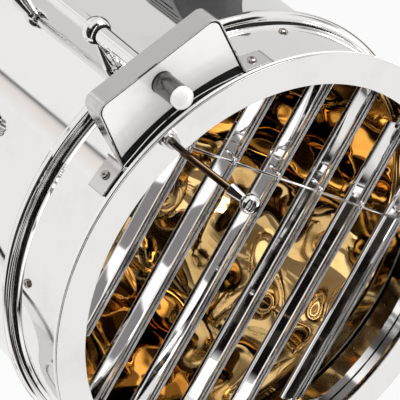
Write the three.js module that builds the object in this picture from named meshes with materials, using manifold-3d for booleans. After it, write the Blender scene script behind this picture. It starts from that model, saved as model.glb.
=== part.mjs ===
// A floor lamp with a polished searchlight head.
// Units are millimetres, +Z is up, the origin is on the floor under the column, and the head faces -Y.
// The head and the parts that tilt with it are drawn in a group of their own, whose Y axis is the drum's
// axis and whose origin is the centre of the bezel's front face.
import * as THREE from "three";
import { mergeVertices } from "three/addons/utils/BufferGeometryUtils.js";
import Module from "manifold-3d";

const wasm = await Module();
wasm.setup();

// Driving dimensions
const PIVOT_HEIGHT = 1370;
const PIVOT_DEPTH = 222;
const OPENING_R = 200;
const BEZEL_R = 231;
const COLLAR_R = 217;
const COLLAR_BACK = 86.7;
const BEAD_R = 227;
const DRUM_R = 213;
const DRUM_BACK = 330;
const DOME_LENGTH = 62;
const SHEET = 1.5;
const GAP = 0.3;
const RING_STEPS = 48;
const ROD_SIDES = 16;

const BLADE_COUNT = 6;
const BLADE_PITCH = 59;
const BLADE_WIDTH = 35.5;
const BLADE_THICKNESS = 4.8;
const BLADE_DEPTH = 38;
const BLADE_REST_ANGLE = 73;
const BLADE_REACH_R = 203;
const PIN_R = 3;
const FRAME_R = 204;
const CRANK_ARM = 34;
const CRANK_LEAD = 38;
const TIE_HEIGHT = 92;
const TIE_R = 1.25;

const SIGHT_ANGLE = 57.7;
const RAIL_ANGLE = 58.6;
const SIGHT_TOP = 283;
const SIGHT_FRONT = 21;
const SIGHT_WIDTH = 23;
const RAIL_HEIGHT = 261;
const RAIL_R = 7;
const RAIL_BACK = 330;
const RAIL_SHOULDER = 115;
const FOOT_LIFT = 2.6;

const YOKE_BAR = 34;
const YOKE_THICKNESS = 8;
const YOKE_INSIDE = 222;
const YOKE_DROP = 334;
const YOKE_BEND = 110;
const TRUNNION_R = 9;
const EYE_PLATE_R = 18;

const BASE_R = 200;
const BASE_TOP = 34;
const COLUMN_R = 16;
const COLUMN_LOWER_R = 20;

const radians = THREE.MathUtils.degToRad;

// Finishes
const finish = (color, roughness, metalness) =>
  new THREE.MeshStandardMaterial({ color, roughness, metalness });
const NICKEL = finish(0xe4e3e2, 0.06, 1);
const GOLD = finish(0xd9a441, 0.12, 1);
const BRASS = finish(0xb98d45, 0.3, 1);
const PORCELAIN = finish(0xf1efe8, 0.35, 0);
const GLASS = finish(0xfff4dc, 0.05, 0);
const IRON = finish(0x3a3a3c, 0.7, 1);
const ENAMEL = finish(0x48484a, 0.35, 0);
const KNURLED = finish(0x5a5755, 0.35, 1);
const RUBBER = finish(0x1c1c1d, 0.9, 0);

// Solids
function solid(geometry) {
  const bare = geometry.index ? geometry.toNonIndexed() : geometry.clone();
  bare.deleteAttribute("normal");
  bare.deleteAttribute("uv");
  const merged = mergeVertices(bare, 1e-4);
  return new wasm.Manifold(
    new wasm.Mesh({
      numProp: 3,
      vertProperties: new Float32Array(merged.attributes.position.array),
      triVerts: new Uint32Array(merged.index.array),
    }),
  );
}

function geometryOf(body) {
  const mesh = body.getMesh();
  const geometry = new THREE.BufferGeometry();
  geometry.setAttribute("position", new THREE.BufferAttribute(mesh.vertProperties, 3));
  geometry.setIndex(new THREE.BufferAttribute(mesh.triVerts, 1));
  geometry.computeVertexNormals();
  return geometry;
}

const joined = (geometries) => geometries.map(solid).reduce((whole, next) => whole.add(next));
const drilled = (body, geometries) =>
  geometries.map(solid).reduce((whole, next) => whole.subtract(next), body);

// A closed outline of [radius, position along the axis], turned about Y.
function spun(outline, steps = RING_STEPS) {
  const points = outline.map(([radius, along]) => new THREE.Vector2(radius, along));
  const touchesAxis = outline[0][0] === 0;
  if (!touchesAxis) points.push(points[0].clone());
  return new THREE.LatheGeometry(points, steps);
}

// The same, turned about Z.
const turned = (outline, steps = RING_STEPS) => spun(outline, steps).rotateX(Math.PI / 2);

// A plain ring about Y, from one position along the axis to another.
const band = (inner, outer, front, back) => [[inner, front], [outer, front], [outer, back], [inner, back]];

// A round bar between two points, which may taper.
function bar(from, to, fromRadius, toRadius = fromRadius, sides = ROD_SIDES) {
  const start = new THREE.Vector3(...from);
  const end = new THREE.Vector3(...to);
  const direction = end.clone().sub(start);
  const geometry = new THREE.CylinderGeometry(toRadius, fromRadius, direction.length(), sides);
  geometry.translate(0, direction.length() / 2, 0);
  const turn = new THREE.Quaternion().setFromUnitVectors(
    new THREE.Vector3(0, 1, 0),
    direction.clone().normalize(),
  );
  return geometry.applyQuaternion(turn).translate(start.x, start.y, start.z);
}

// A flat outline of [x, z], drawn out along Y from front to back.
function plate(outline, front, back) {
  const shape = new THREE.Shape(outline.map(([x, z]) => new THREE.Vector2(x, -z)));
  const geometry = new THREE.ExtrudeGeometry(shape, { depth: back - front, bevelEnabled: false });
  return geometry.rotateX(-Math.PI / 2).translate(0, front, 0);
}

// The outline of a strip of sheet that follows a path of [x, z].
function strip(path, thickness) {
  const points = path.map(([x, z]) => new THREE.Vector2(x, z));
  const left = [];
  const right = [];
  points.forEach((point, i) => {
    const before = point.clone().sub(points[Math.max(i - 1, 0)]);
    const after = points[Math.min(i + 1, points.length - 1)].clone().sub(point);
    const directions = [before, after].filter((step) => step.length() > 0).map((step) => step.normalize());
    const along = directions.reduce((sum, step) => sum.add(step), new THREE.Vector2()).normalize();
    const normal = new THREE.Vector2(-along.y, along.x);
    const edge = new THREE.Vector2(-directions[0].y, directions[0].x);
    const offset = thickness / 2 / normal.dot(edge);
    left.push([point.x + normal.x * offset, point.y + normal.y * offset]);
    right.push([point.x - normal.x * offset, point.y - normal.y * offset]);
  });
  return [...left, ...right.reverse()];
}

// Points of an arc in degrees, as [x, z] or [radius, along].
function arc(centre, radiusX, radiusZ, from, to, steps) {
  return Array.from({ length: steps + 1 }, (_, i) => {
    const angle = radians(from + ((to - from) * i) / steps);
    return [centre[0] + radiusX * Math.cos(angle), centre[1] + radiusZ * Math.sin(angle)];
  });
}

// Groups
const lamp = new THREE.Group();
const head = new THREE.Group();
head.position.set(0, -PIVOT_DEPTH, PIVOT_HEIGHT);
lamp.add(head);
const sight = new THREE.Group();
sight.rotation.y = -radians(SIGHT_ANGLE);
head.add(sight);
const rail = new THREE.Group();
rail.rotation.y = -radians(RAIL_ANGLE);
head.add(rail);

function piece(name, shape, material, group) {
  const geometry = shape.isBufferGeometry ? shape : geometryOf(shape);
  const mesh = new THREE.Mesh(geometry, material);
  mesh.name = name;
  group.add(mesh);
  return mesh;
}

// Bezel: a flat ring with a short lip turned back at both edges.
function bezel() {
  const edge = 4;
  return spun([
    [OPENING_R, 0],
    [BEZEL_R, 0],
    [BEZEL_R, edge],
    [BEZEL_R - SHEET, edge],
    [BEZEL_R - SHEET, SHEET],
    [OPENING_R + SHEET, SHEET],
    [OPENING_R + SHEET, edge],
    [OPENING_R, edge],
  ]);
}

// Collar: the band behind the bezel, with a flange that the bezel is fixed to.
function collar() {
  const flangeFront = SHEET + GAP;
  const flangeBack = flangeFront + SHEET;
  return spun([
    [FRAME_R, flangeFront],
    [COLLAR_R, flangeFront],
    [COLLAR_R, COLLAR_BACK],
    [COLLAR_R - SHEET, COLLAR_BACK],
    [COLLAR_R - SHEET, flangeBack],
    [FRAME_R, flangeBack],
  ]);
}

// Bead: the rolled ring on the drum, behind the dark groove at the collar's back edge.
function bead() {
  const front = 90;
  const width = 14;
  const round = 6;
  return spun([
    [DRUM_R + GAP, front],
    ...arc([BEAD_R - round, front + round], round, round, -90, 0, 3),
    ...arc([BEAD_R - round, front + width - round], round, round, 0, 90, 3),
    [DRUM_R + GAP, front + width],
  ]);
}

// Drum: a plain sleeve that starts inside the collar.
function drumShell() {
  return spun(band(DRUM_R - SHEET, DRUM_R, 60, DRUM_BACK));
}

// Rear dome: a spun cover with a rolled rim and a ring of vent holes under its cap.
const DOME_HUB = 56;
const DOME_FRONT = DRUM_BACK + GAP;
const DOME_BACK = DOME_FRONT + 6 + DOME_LENGTH;
function rearDome() {
  const outer = arc([DOME_HUB, DOME_FRONT + 6], DRUM_R + 4 - DOME_HUB, DOME_LENGTH, 0, 90, 5);
  const inner = arc([DOME_HUB, DOME_FRONT + 6], DRUM_R + 2 - DOME_HUB, DOME_LENGTH - 2, 90, 0, 5);
  const shell = solid(
    spun([
      [0, DOME_BACK - 2],
      ...inner,
      [DRUM_R + 2, DOME_FRONT],
      [DRUM_R + 4, DOME_FRONT],
      ...outer,
      [0, DOME_BACK],
    ]),
  );
  const vents = Array.from({ length: 8 }, (_, i) => {
    const angle = radians(45 * i + 22.5);
    const [x, z] = [38 * Math.sin(angle), 38 * Math.cos(angle)];
    return bar([x, DOME_BACK - 8, z], [x, DOME_BACK + 4, z], 7, 7, 8);
  });
  return drilled(shell, vents);
}

function ventCap() {
  const stemEnd = DOME_BACK + GAP;
  return spun(
    [
      [0, stemEnd],
      [12, stemEnd],
      [12, stemEnd + 12],
      [70, stemEnd + 12],
      [72, stemEnd + 15],
      [60, stemEnd + 20],
      [30, stemEnd + 24],
      [0, stemEnd + 25],
    ],
    32,
  );
}

// Reflector: a deep bowl, r squared proportional to the distance from its tip.
const REFLECTOR_MOUTH = 76;
const REFLECTOR_TIP = 300;
function reflector() {
  const mouth = DRUM_R - SHEET - 2.5;
  const neck = 34;
  const slope = (mouth * mouth) / (REFLECTOR_TIP - REFLECTOR_MOUTH);
  const steps = 6;
  const inner = Array.from({ length: steps + 1 }, (_, i) => {
    const radius = mouth + ((neck - mouth) * i) / steps;
    return [radius, REFLECTOR_TIP - (radius * radius) / slope];
  });
  const thickness = 2;
  const outer = inner.map(([radius, along]) => [radius, along + thickness]).reverse();
  outer[outer.length - 1] = [mouth, REFLECTOR_MOUTH + thickness];
  return spun([...outer.reverse(), ...inner.reverse()]);
}

// Lamp holder, its plate, and the bulb in front of it.
function lampHolder() {
  return spun([[0, 262], [20, 262], [20, 296], [24, 296], [24, 308], [12, 318], [0, 318]], 24);
}
function holderPlate() {
  return spun(band(24 + GAP, 70, 303, 306), 24);
}
function bulbGlass() {
  const globe = arc([0, 200], 38, 38, -90, 50, 9);
  globe[0] = [0, 162];
  return spun([...globe, [15, 244], [12.5, 248], [0, 248]], 24);
}
function bulbCap() {
  return spun([[0, 248 + GAP], [13, 248 + GAP], [13, 262 - GAP], [0, 262 - GAP]], 20);
}

piece("bezel", bezel(), NICKEL, head);
piece("collar", collar(), NICKEL, head);
piece("drum_bead", bead(), NICKEL, head);
piece("drum_shell", drumShell(), NICKEL, head);
piece("rear_dome", rearDome(), NICKEL, head);
piece("vent_cap", ventCap(), NICKEL, head);
piece("reflector", reflector(), GOLD, head);
piece("lamp_holder", lampHolder(), PORCELAIN, head);
piece("holder_plate", holderPlate(), NICKEL, head);
piece("bulb_glass", bulbGlass(), GLASS, head);
piece("bulb_cap", bulbCap(), BRASS, head);

// Shutter frame: a ring behind the collar's flange, bored for the blade pins.
const bladeX = (i) => (i - (BLADE_COUNT - 1) / 2) * BLADE_PITCH;
function shutterFrame() {
  const front = BLADE_DEPTH - 10;
  const back = BLADE_DEPTH + 10;
  const ring = solid(spun(band(FRAME_R, COLLAR_R - SHEET - 1, front, back)));
  const bores = Array.from({ length: BLADE_COUNT }, (_, i) =>
    bar([bladeX(i), BLADE_DEPTH, -240], [bladeX(i), BLADE_DEPTH, 240], PIN_R + 0.5, PIN_R + 0.5, 8),
  );
  return drilled(ring, bores);
}
piece("shutter_frame", shutterFrame(), NICKEL, head);

// A blade is drawn with its pin axis at the origin and its front edge along -Y, then turned to rest.
// A round bead runs up its right side at the back edge.
// Each one has a crank tab ahead of its front edge, over the tie rod, with a pin down through the rod's eye.
const crankPin = [
  -CRANK_ARM * Math.sin(radians(-CRANK_LEAD)),
  -CRANK_ARM * Math.cos(radians(-CRANK_LEAD)),
];
const bladeLength = (x) => Math.sqrt(BLADE_REACH_R ** 2 - (Math.abs(x) + BLADE_WIDTH / 2) ** 2) - 1;
const pinLength = (x) => Math.sqrt(FRAME_R ** 2 - x ** 2) + 6;
function blade(x) {
  const half = BLADE_WIDTH / 2;
  const edge = BLADE_THICKNESS / 2;
  const length = bladeLength(x);
  const corner = 1;
  const corners = [[1, 1, 0], [-1, 1, 90], [-1, -1, 180], [1, -1, 270]].flatMap(([u, v, turn]) =>
    arc([u * (edge - corner), v * (half - corner)], corner, corner, turn, turn + 90, 2),
  );
  const section = new THREE.Shape(corners.map(([u, v]) => new THREE.Vector2(u, v)));
  const leaf = new THREE.ExtrudeGeometry(section, { depth: 2 * length, bevelEnabled: false });
  leaf.translate(0, 0, -length);
  const beadR = 1.4;
  const beadEnd = length - 4;
  const beadU = edge + 0.4;
  const beadV = half - 1.6;
  const bead = bar([beadU, beadV, -beadEnd], [beadU, beadV, beadEnd], beadR, beadR, 8);
  const pins = bar([0, 0, -pinLength(x)], [0, 0, pinLength(x)], PIN_R, PIN_R, 8);
  const tabWidth = 3;
  const tabLow = TIE_HEIGHT + 2.5;
  const tab = new THREE.Shape(
    strip([[0, -half + 9], crankPin], 2 * tabWidth).map(([u, v]) => new THREE.Vector2(u, v)),
  );
  const tabPlate = new THREE.ExtrudeGeometry(tab, { depth: 1.6, bevelEnabled: false });
  tabPlate.translate(0, 0, tabLow);
  const pin = bar([...crankPin, TIE_HEIGHT - 2.5], [...crankPin, tabLow + 1], 1.3, 1.3, 8);
  return joined([leaf, bead, pins, tabPlate, pin]);
}
for (let i = 0; i < BLADE_COUNT; i += 1) {
  const leaf = piece(`blade_${i + 1}`, blade(bladeX(i)), NICKEL, head);
  leaf.position.set(bladeX(i), BLADE_DEPTH, 0);
  leaf.rotation.z = -radians(BLADE_REST_ANGLE);
}

// Tie rod: one wire with an eye round each crank pin. Its left end is held in the lever's hub.
const crankAngle = radians(BLADE_REST_ANGLE - CRANK_LEAD);
const tieOffset = [-CRANK_ARM * Math.sin(crankAngle), BLADE_DEPTH - CRANK_ARM * Math.cos(crankAngle)];
const HUB_X = -173.3;
const HUB_R = 3;
const EYE_R = 3;
function tieRod() {
  const y = tieOffset[1];
  const eyes = Array.from({ length: BLADE_COUNT }, (_, i) => bladeX(i) + tieOffset[0]);
  const last = eyes[BLADE_COUNT - 1] + EYE_R;
  const wire = bar([HUB_X, y, TIE_HEIGHT], [last, y, TIE_HEIGHT], TIE_R, TIE_R, 8);
  const rings = eyes.map((x) => bar([x, y, TIE_HEIGHT - 1.6], [x, y, TIE_HEIGHT + 1.6], EYE_R, EYE_R, 10));
  const holes = eyes.map((x) => bar([x, y, TIE_HEIGHT - 5], [x, y, TIE_HEIGHT + 5], 1.8, 1.8, 8));
  return drilled(joined([wire, ...rings]), holes);
}

// Lever: a slanting rod from the hub, a conical ferrule and a ball with a socket screw in its face.
const LEVER_BALL = [-141.4, -65, 80.2];
const LEVER_ROD_R = 3.5;
const LEVER_BALL_R = 9.3;
const LEVER_SCREW_SEAT = 4.5;
const leverStart = new THREE.Vector3(HUB_X, tieOffset[1], 86.6);
const leverAxis = new THREE.Vector3(...LEVER_BALL).sub(leverStart);
const leverLength = leverAxis.length();
leverAxis.normalize();
const along = (distance) => leverStart.clone().addScaledVector(leverAxis, distance).toArray();
const FERRULE_START = leverLength - 23;
function leverRod() {
  const rod = bar(along(-1), along(FERRULE_START - GAP), LEVER_ROD_R, LEVER_ROD_R, 12);
  const hubLow = [HUB_X, tieOffset[1], leverStart.z - 4];
  const hubHigh = [HUB_X, tieOffset[1], TIE_HEIGHT + 2.1];
  const hub = bar(hubLow, hubHigh, HUB_R, HUB_R, 12);
  const bore = bar([HUB_X - 1, tieOffset[1], TIE_HEIGHT], [HUB_X + 9, tieOffset[1], TIE_HEIGHT], TIE_R + GAP);
  return drilled(joined([rod, hub]), [bore]);
}
function leverBall() {
  const ball = new THREE.SphereGeometry(LEVER_BALL_R, 16, 12).translate(...LEVER_BALL);
  const ferrule = bar(along(FERRULE_START), along(leverLength - 6), 6.2, 4, 16);
  const recess = bar(along(leverLength + LEVER_SCREW_SEAT), along(leverLength + 14), 4.6, 4.6, 12);
  return drilled(joined([ball, ferrule]), [recess]);
}
function leverScrew() {
  const seat = leverLength + LEVER_SCREW_SEAT;
  const socket = bar(along(seat + 1.5), along(seat + 8), 2.2, 2.2, 6);
  return drilled(solid(bar(along(seat + GAP), along(seat + 3.7), 4.2, 4.2, 12)), [socket]);
}
piece("tie_rod", tieRod(), NICKEL, head);
piece("lever_rod", leverRod(), NICKEL, head);
piece("lever_ball", leverBall(), NICKEL, head);
piece("lever_screw", leverScrew(), NICKEL, head);

// Sight bracket: a bent strip with two feet on the collar, drawn with its middle straight up.
const LEG_TOP = 68;
const LEG_FOOT = 70;
const FOOT_ANGLES = [19.3, 26.7];
const footPoint = (angle, radius) => [radius * Math.sin(radians(angle)), radius * Math.cos(radians(angle))];
function sightPath() {
  const bend = 10;
  const top = SIGHT_TOP - SHEET / 2;
  const footR = COLLAR_R + FOOT_LIFT;
  const half = [
    [0, top],
    ...arc([LEG_TOP - bend, top - bend], bend, bend, 90, 6, 4),
    [LEG_FOOT, COLLAR_R - 8],
    footPoint(FOOT_ANGLES[0] + 0.7, footR),
    footPoint(FOOT_ANGLES[1], footR),
  ];
  const mirrored = half
    .slice(1)
    .reverse()
    .map(([x, z]) => [-x, z]);
  return [...mirrored, ...half];
}
function sightBracket() {
  const back = SIGHT_FRONT + SIGHT_WIDTH;
  const whole = plate(strip(sightPath(), SHEET), SIGHT_FRONT, back);
  const taper = [[back + 1, SIGHT_TOP - 18], [SIGHT_FRONT + 4, COLLAR_R - 6], [back + 1, COLLAR_R - 6]];
  const wedge = plate(taper, -2 * LEG_FOOT, 2 * LEG_FOOT).rotateZ(Math.PI / 2);
  return drilled(solid(whole), [wedge]);
}
function sightPlate() {
  const inset = SHEET / 2 + 0.6;
  const top = SIGHT_TOP - SHEET - GAP;
  const corner = 10;
  const low = OPENING_R + 29;
  const spread = 16.4;
  const right = arc([LEG_TOP - corner - inset, top - corner], corner, corner, 90, 0, 3);
  const left = right.map(([x, z]) => [-x, z]).reverse();
  const bottom = Array.from({ length: 9 }, (_, i) => footPoint(spread - (spread * i) / 4, low));
  return plate([...left, ...right, ...bottom], SIGHT_FRONT + 0.5, SIGHT_FRONT + 2.5);
}
function sightBoss() {
  const outline = [
    [0, -18.5],
    [4.4, -17.7],
    [8.2, -15.4],
    [10.6, -12],
    [10.6, SIGHT_FRONT + 0.5 - GAP],
    [0, SIGHT_FRONT + 0.5 - GAP],
  ];
  return spun(outline, 20).translate(0, 0, RAIL_HEIGHT);
}
function sightRail() {
  const front = SIGHT_FRONT + 2.5 + GAP;
  const tube = [
    [0, front],
    [RAIL_R - 0.6, front],
    [RAIL_R + 1.3, RAIL_SHOULDER],
    [RAIL_R, RAIL_SHOULDER],
    [RAIL_R, RAIL_BACK - 3],
    [RAIL_R - 3, RAIL_BACK],
    [0, RAIL_BACK],
  ];
  return spun(tube, ROD_SIDES).translate(0, 0, RAIL_HEIGHT);
}
function railPost(y) {
  const foot = DRUM_R + GAP;
  const ball = new THREE.SphereGeometry(13.3, 16, 12).translate(0, y, RAIL_HEIGHT);
  const cone = bar([0, y, foot + 4], [0, y, RAIL_HEIGHT - 8], 9.3, 6.3, 16);
  const ring = bar([0, y, foot], [0, y, foot + 5], 10.5, 10.5, 16);
  const bore = bar([0, y - 20, RAIL_HEIGHT], [0, y + 20, RAIL_HEIGHT], RAIL_R + GAP, RAIL_R + GAP, ROD_SIDES);
  const mouth = RAIL_R + 2.9;
  const recess = bar([0, y - 20, RAIL_HEIGHT], [0, y - 7, RAIL_HEIGHT], mouth, mouth, ROD_SIDES);
  return drilled(joined([ball, cone, ring]), [bore, recess]);
}
piece("sight_bracket", sightBracket(), NICKEL, sight);
piece("sight_plate", sightPlate(), NICKEL, sight);
piece("sight_boss", sightBoss(), KNURLED, rail);
piece("sight_rail", sightRail(), NICKEL, rail);
piece("rail_post_front", railPost(RAIL_SHOULDER + 10), NICKEL, rail);
piece("rail_post_rear", railPost(296), NICKEL, rail);

// Pan-head screws, turned to point at the drum's axis.
function screw(name, angle, radius, y) {
  const height = 2.6;
  const outline = [[0, 0], [4.6, 0], [4.4, 1.2], [3.2, height - 0.4], [0, height]];
  const shape = turned(outline, 12).translate(0, 0, radius);
  const mesh = piece(name, shape, NICKEL, head);
  mesh.position.y = y;
  mesh.rotation.y = radians(angle);
}
const footMiddle = (FOOT_ANGLES[0] + FOOT_ANGLES[1]) / 2 - 0.5;
const footScrewR = COLLAR_R + FOOT_LIFT + SHEET / 2;
screw("bracket_screw_left", -SIGHT_ANGLE - footMiddle, footScrewR, SIGHT_FRONT + SIGHT_WIDTH / 2);
screw("bracket_screw_right", -SIGHT_ANGLE + footMiddle, footScrewR, SIGHT_FRONT + SIGHT_WIDTH / 2);
[-18.2, -115, 154, 62].forEach((angle, i) => screw(`collar_screw_${i + 1}`, angle, COLLAR_R + 0.1, 73.5));

// Vent hood: a sheet box with slots in its sides, open below, on a curved flange over the drum.
const HOOD_ANGLE = 18;
const HOOD_HALF = 46;
const HOOD_TOP = 304;
const HOOD_FRONT = 188;
const HOOD_BACK = 280;
const FLANGE_BORDER = 9;
const hood = new THREE.Group();
hood.rotation.y = -radians(HOOD_ANGLE);
head.add(hood);
function hoodFlange() {
  const radius = DRUM_R + SHEET;
  const reach = THREE.MathUtils.radToDeg((HOOD_HALF + FLANGE_BORDER) / radius);
  const path = arc([0, 0], radius, radius, 90 - reach, 90 + reach, 10);
  return plate(strip(path, SHEET + 0.5), HOOD_FRONT - FLANGE_BORDER, HOOD_BACK + FLANGE_BORDER);
}
function ventHood() {
  const wall = 2;
  const corner = 14;
  const foot = DRUM_R + 2 * SHEET + GAP;
  const slotHeight = 4;
  const slotPitch = 13;
  const slotInset = 12;
  const profile = (inset, low) => {
    const half = HOOD_HALF - inset;
    const round = corner - inset;
    const right = arc([HOOD_HALF - corner, HOOD_TOP - corner], round, round, 0, 90, 4);
    const left = right.map(([x, z]) => [-x, z]).reverse();
    return [[-half, low], [half, low], ...right, ...left];
  };
  const edge = foot - 12;
  const box = solid(plate(profile(0, edge), HOOD_FRONT, HOOD_BACK));
  const hollow = plate(profile(wall, edge - 5), HOOD_FRONT + wall, HOOD_BACK - wall);
  const saddle = bar([0, HOOD_FRONT - 5, 0], [0, HOOD_BACK + 5, 0], foot, foot, 2 * RING_STEPS);
  const slots = [0, 1, 2, 3].map((i) => {
    const low = foot + 2 * slotPitch + slotPitch * i;
    const high = low + slotHeight;
    const outline = [[-60, low], [60, low], [60, high], [-60, high]];
    return plate(outline, HOOD_FRONT + slotInset, HOOD_BACK - slotInset);
  });
  return drilled(box, [hollow, saddle, ...slots]);
}
piece("hood_flange", hoodFlange(), NICKEL, hood);
piece("vent_hood", ventHood(), ENAMEL, hood);

// Trunnions: a boss on each side of the drum with a shaft that turns in the yoke.
function trunnion(side) {
  const face = DRUM_R + GAP;
  const boss = bar([side * face, PIVOT_DEPTH, 0], [side * (YOKE_INSIDE - 1), PIVOT_DEPTH, 0], 17, 15, 24);
  const end = YOKE_INSIDE + YOKE_THICKNESS;
  const shaft = bar([side * (face + 4), PIVOT_DEPTH, 0], [side * end, PIVOT_DEPTH, 0], TRUNNION_R);
  const thread = bar([side * (end - 1), PIVOT_DEPTH, 0], [side * (end + 8), PIVOT_DEPTH, 0], 6);
  return joined([boss, shaft, thread]);
}
piece("trunnion_left", trunnion(-1), NICKEL, head);
piece("trunnion_right", trunnion(1), NICKEL, head);

// Yoke: a flat bar bent to a U, with a round eye for each trunnion and a stem under its middle.
const yoke = new THREE.Group();
yoke.position.set(0, 0, PIVOT_HEIGHT);
lamp.add(yoke);
function yokeFork() {
  const x = YOKE_INSIDE + YOKE_THICKNESS / 2;
  const low = -YOKE_DROP - YOKE_THICKNESS / 2;
  const half = [
    [x, 0],
    ...arc([x - YOKE_BEND, low + YOKE_BEND], YOKE_BEND, YOKE_BEND, 0, -90, 8),
  ];
  const path = [...half.map(([a, b]) => [-a, b]), ...half.reverse()];
  const fork = plate(strip(path, YOKE_THICKNESS), -YOKE_BAR / 2, YOKE_BAR / 2);
  const outside = YOKE_INSIDE + YOKE_THICKNESS;
  const eye = (side) =>
    bar([side * YOKE_INSIDE, 0, 0], [side * outside, 0, 0], EYE_PLATE_R, EYE_PLATE_R, 24);
  const bore = bar([-300, 0, 0], [300, 0, 0], TRUNNION_R + 0.5);
  return drilled(joined([fork, eye(-1), eye(1)]), [bore]);
}
const STEM_TOP = -YOKE_DROP - YOKE_THICKNESS - GAP;
const STEM_R = 13;
function yokeStem() {
  const outline = [
    [0, STEM_TOP - 66],
    [STEM_R, STEM_TOP - 66],
    [STEM_R, STEM_TOP - 8],
    [28, STEM_TOP - 8],
    [28, STEM_TOP - 2],
    [26, STEM_TOP],
    [0, STEM_TOP],
  ];
  return turned(outline, 24);
}
piece("yoke_fork", yokeFork(), NICKEL, yoke);
piece("yoke_stem", yokeStem(), NICKEL, yoke);

// Clamp knobs: fluted grips with a blind bore, on the trunnions' threaded ends and on the swivel.
function clampKnob(radius, length, bore) {
  const flutes = 8;
  const body = solid(
    spun(
      [[0, 0], [radius * 0.6, 0], [radius, 3], [radius, length - 4], [radius - 4, length], [0, length]],
      32,
    ),
  );
  const cuts = Array.from({ length: flutes }, (_, i) => {
    const angle = (i * 2 * Math.PI) / flutes;
    const [x, z] = [radius * 1.12 * Math.sin(angle), radius * 1.12 * Math.cos(angle)];
    return bar([x, -5, z], [x, length + 5, z], radius * 0.22, radius * 0.22, 8);
  });
  if (bore > 0) cuts.push(bar([0, -5, 0], [0, length - 6, 0], bore, bore, 16));
  return geometryOf(drilled(body, cuts));
}
const KNOB_SEAT = YOKE_INSIDE + YOKE_THICKNESS + GAP;
const knobs = { tilt_knob_left: -1, tilt_knob_right: 1 };
Object.entries(knobs).forEach(([name, side]) => {
  const knob = piece(name, clampKnob(13, 15, 6.5), NICKEL, yoke);
  knob.rotation.z = (-side * Math.PI) / 2;
  knob.position.x = side * KNOB_SEAT;
});

// Swivel: a bored housing on the column's top, with a lock screw at the back.
const SWIVEL_TOP = PIVOT_HEIGHT + STEM_TOP - 8 - GAP;
const SWIVEL_LENGTH = 84;
const SWIVEL_BOTTOM = SWIVEL_TOP - SWIVEL_LENGTH;
const LOCK_HEIGHT = SWIVEL_TOP - 30;
const SWIVEL_R = 24;
function swivelHousing() {
  const body = turned(
    [
      [0, SWIVEL_BOTTOM],
      [18, SWIVEL_BOTTOM],
      [SWIVEL_R, SWIVEL_BOTTOM + 10],
      [SWIVEL_R, SWIVEL_TOP - 4],
      [SWIVEL_R + 4, SWIVEL_TOP - 3],
      [SWIVEL_R + 4, SWIVEL_TOP],
      [0, SWIVEL_TOP],
    ],
    32,
  );
  const bore = bar([0, 0, SWIVEL_TOP - 62], [0, 0, SWIVEL_TOP + 5], STEM_R + 0.5, STEM_R + 0.5, 24);
  const tapped = bar([0, 8, LOCK_HEIGHT], [0, SWIVEL_R + 10, LOCK_HEIGHT], 4.5, 4.5, 12);
  return drilled(solid(body), [bore, tapped]);
}
function swivelLock() {
  const shaft = solid(bar([0, STEM_R + 1, 0], [0, SWIVEL_R + 6, 0], 4, 4, 12));
  const grip = solid(clampKnob(16, 20, 0).translate(0, SWIVEL_R + 4, 0));
  return shaft.add(grip);
}
piece("swivel_housing", swivelHousing(), NICKEL, lamp);
piece("swivel_lock", swivelLock(), NICKEL, lamp).position.z = LOCK_HEIGHT;

// Column: two tubes with a turned collar between them.
const COLLAR_LOW = 540;
const BASE_HUB = 66;
function columnUpper() {
  const top = SWIVEL_BOTTOM - GAP;
  return turned(band(COLUMN_R - 2, COLUMN_R, COLLAR_LOW + 40 + GAP, top), 24);
}
function columnCollar() {
  return turned(
    [
      [12, COLLAR_LOW],
      [24, COLLAR_LOW],
      [27, COLLAR_LOW + 4],
      [27, COLLAR_LOW + 12],
      [22, COLLAR_LOW + 22],
      [20, COLLAR_LOW + 40],
      [12, COLLAR_LOW + 40],
    ],
    32,
  );
}
function columnLower() {
  return turned(band(COLUMN_LOWER_R - 2, COLUMN_LOWER_R, BASE_HUB + GAP, COLLAR_LOW - GAP), 24);
}
piece("column_upper", columnUpper(), NICKEL, lamp);
piece("column_collar", columnCollar(), NICKEL, lamp);
piece("column_lower", columnLower(), NICKEL, lamp);

// Base: a spun cover over a cast weight, on a rubber pad.
const SWITCH_Y = -125;
const PAD_TOP = 4;
function baseCover() {
  const sheet = 2;
  return turned([
    [BASE_R - sheet, PAD_TOP],
    [BASE_R, PAD_TOP],
    [BASE_R, 22],
    [BASE_R - 8, 27],
    [BASE_R - 16, 27],
    [BASE_R - 22, BASE_TOP],
    [8, BASE_TOP],
    [8, BASE_TOP - sheet],
    [BASE_R - 23, BASE_TOP - sheet],
    [BASE_R - 17, 25],
    [BASE_R - 9, 25],
    [BASE_R - sheet, 20],
  ]);
}
function baseHub() {
  return turned(
    [
      [8, BASE_TOP + GAP],
      [60, BASE_TOP + GAP],
      [60, BASE_TOP + 3],
      [44, 41],
      [36, 50],
      [34, BASE_HUB],
      [8, BASE_HUB],
    ],
    32,
  );
}
function baseWeight() {
  const low = PAD_TOP + GAP;
  return turned([[0, low], [BASE_R - 12, low], [BASE_R - 12, 20], [BASE_R - 28, 28], [0, 28]]);
}
function basePad() {
  return turned([[0, 0], [BASE_R - 6, 0], [BASE_R - 6, PAD_TOP], [0, PAD_TOP]]);
}
function cableGland() {
  const outline = [[3.8, 0], [10, 0], [10, 3], [7, 4], [6, 14], [3.8, 14]];
  return spun(outline, 16).translate(0, BASE_R + GAP, 14);
}
const SWITCH_R = 20;
function switchHousing() {
  return turned([
    [0, BASE_TOP + GAP],
    [SWITCH_R, BASE_TOP + GAP],
    [SWITCH_R, 42],
    [SWITCH_R - 1.5, 44],
    [SWITCH_R - 4, 44],
    [SWITCH_R - 4, 36],
    [0, 36],
  ], 24).translate(0, SWITCH_Y, 0);
}
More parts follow.
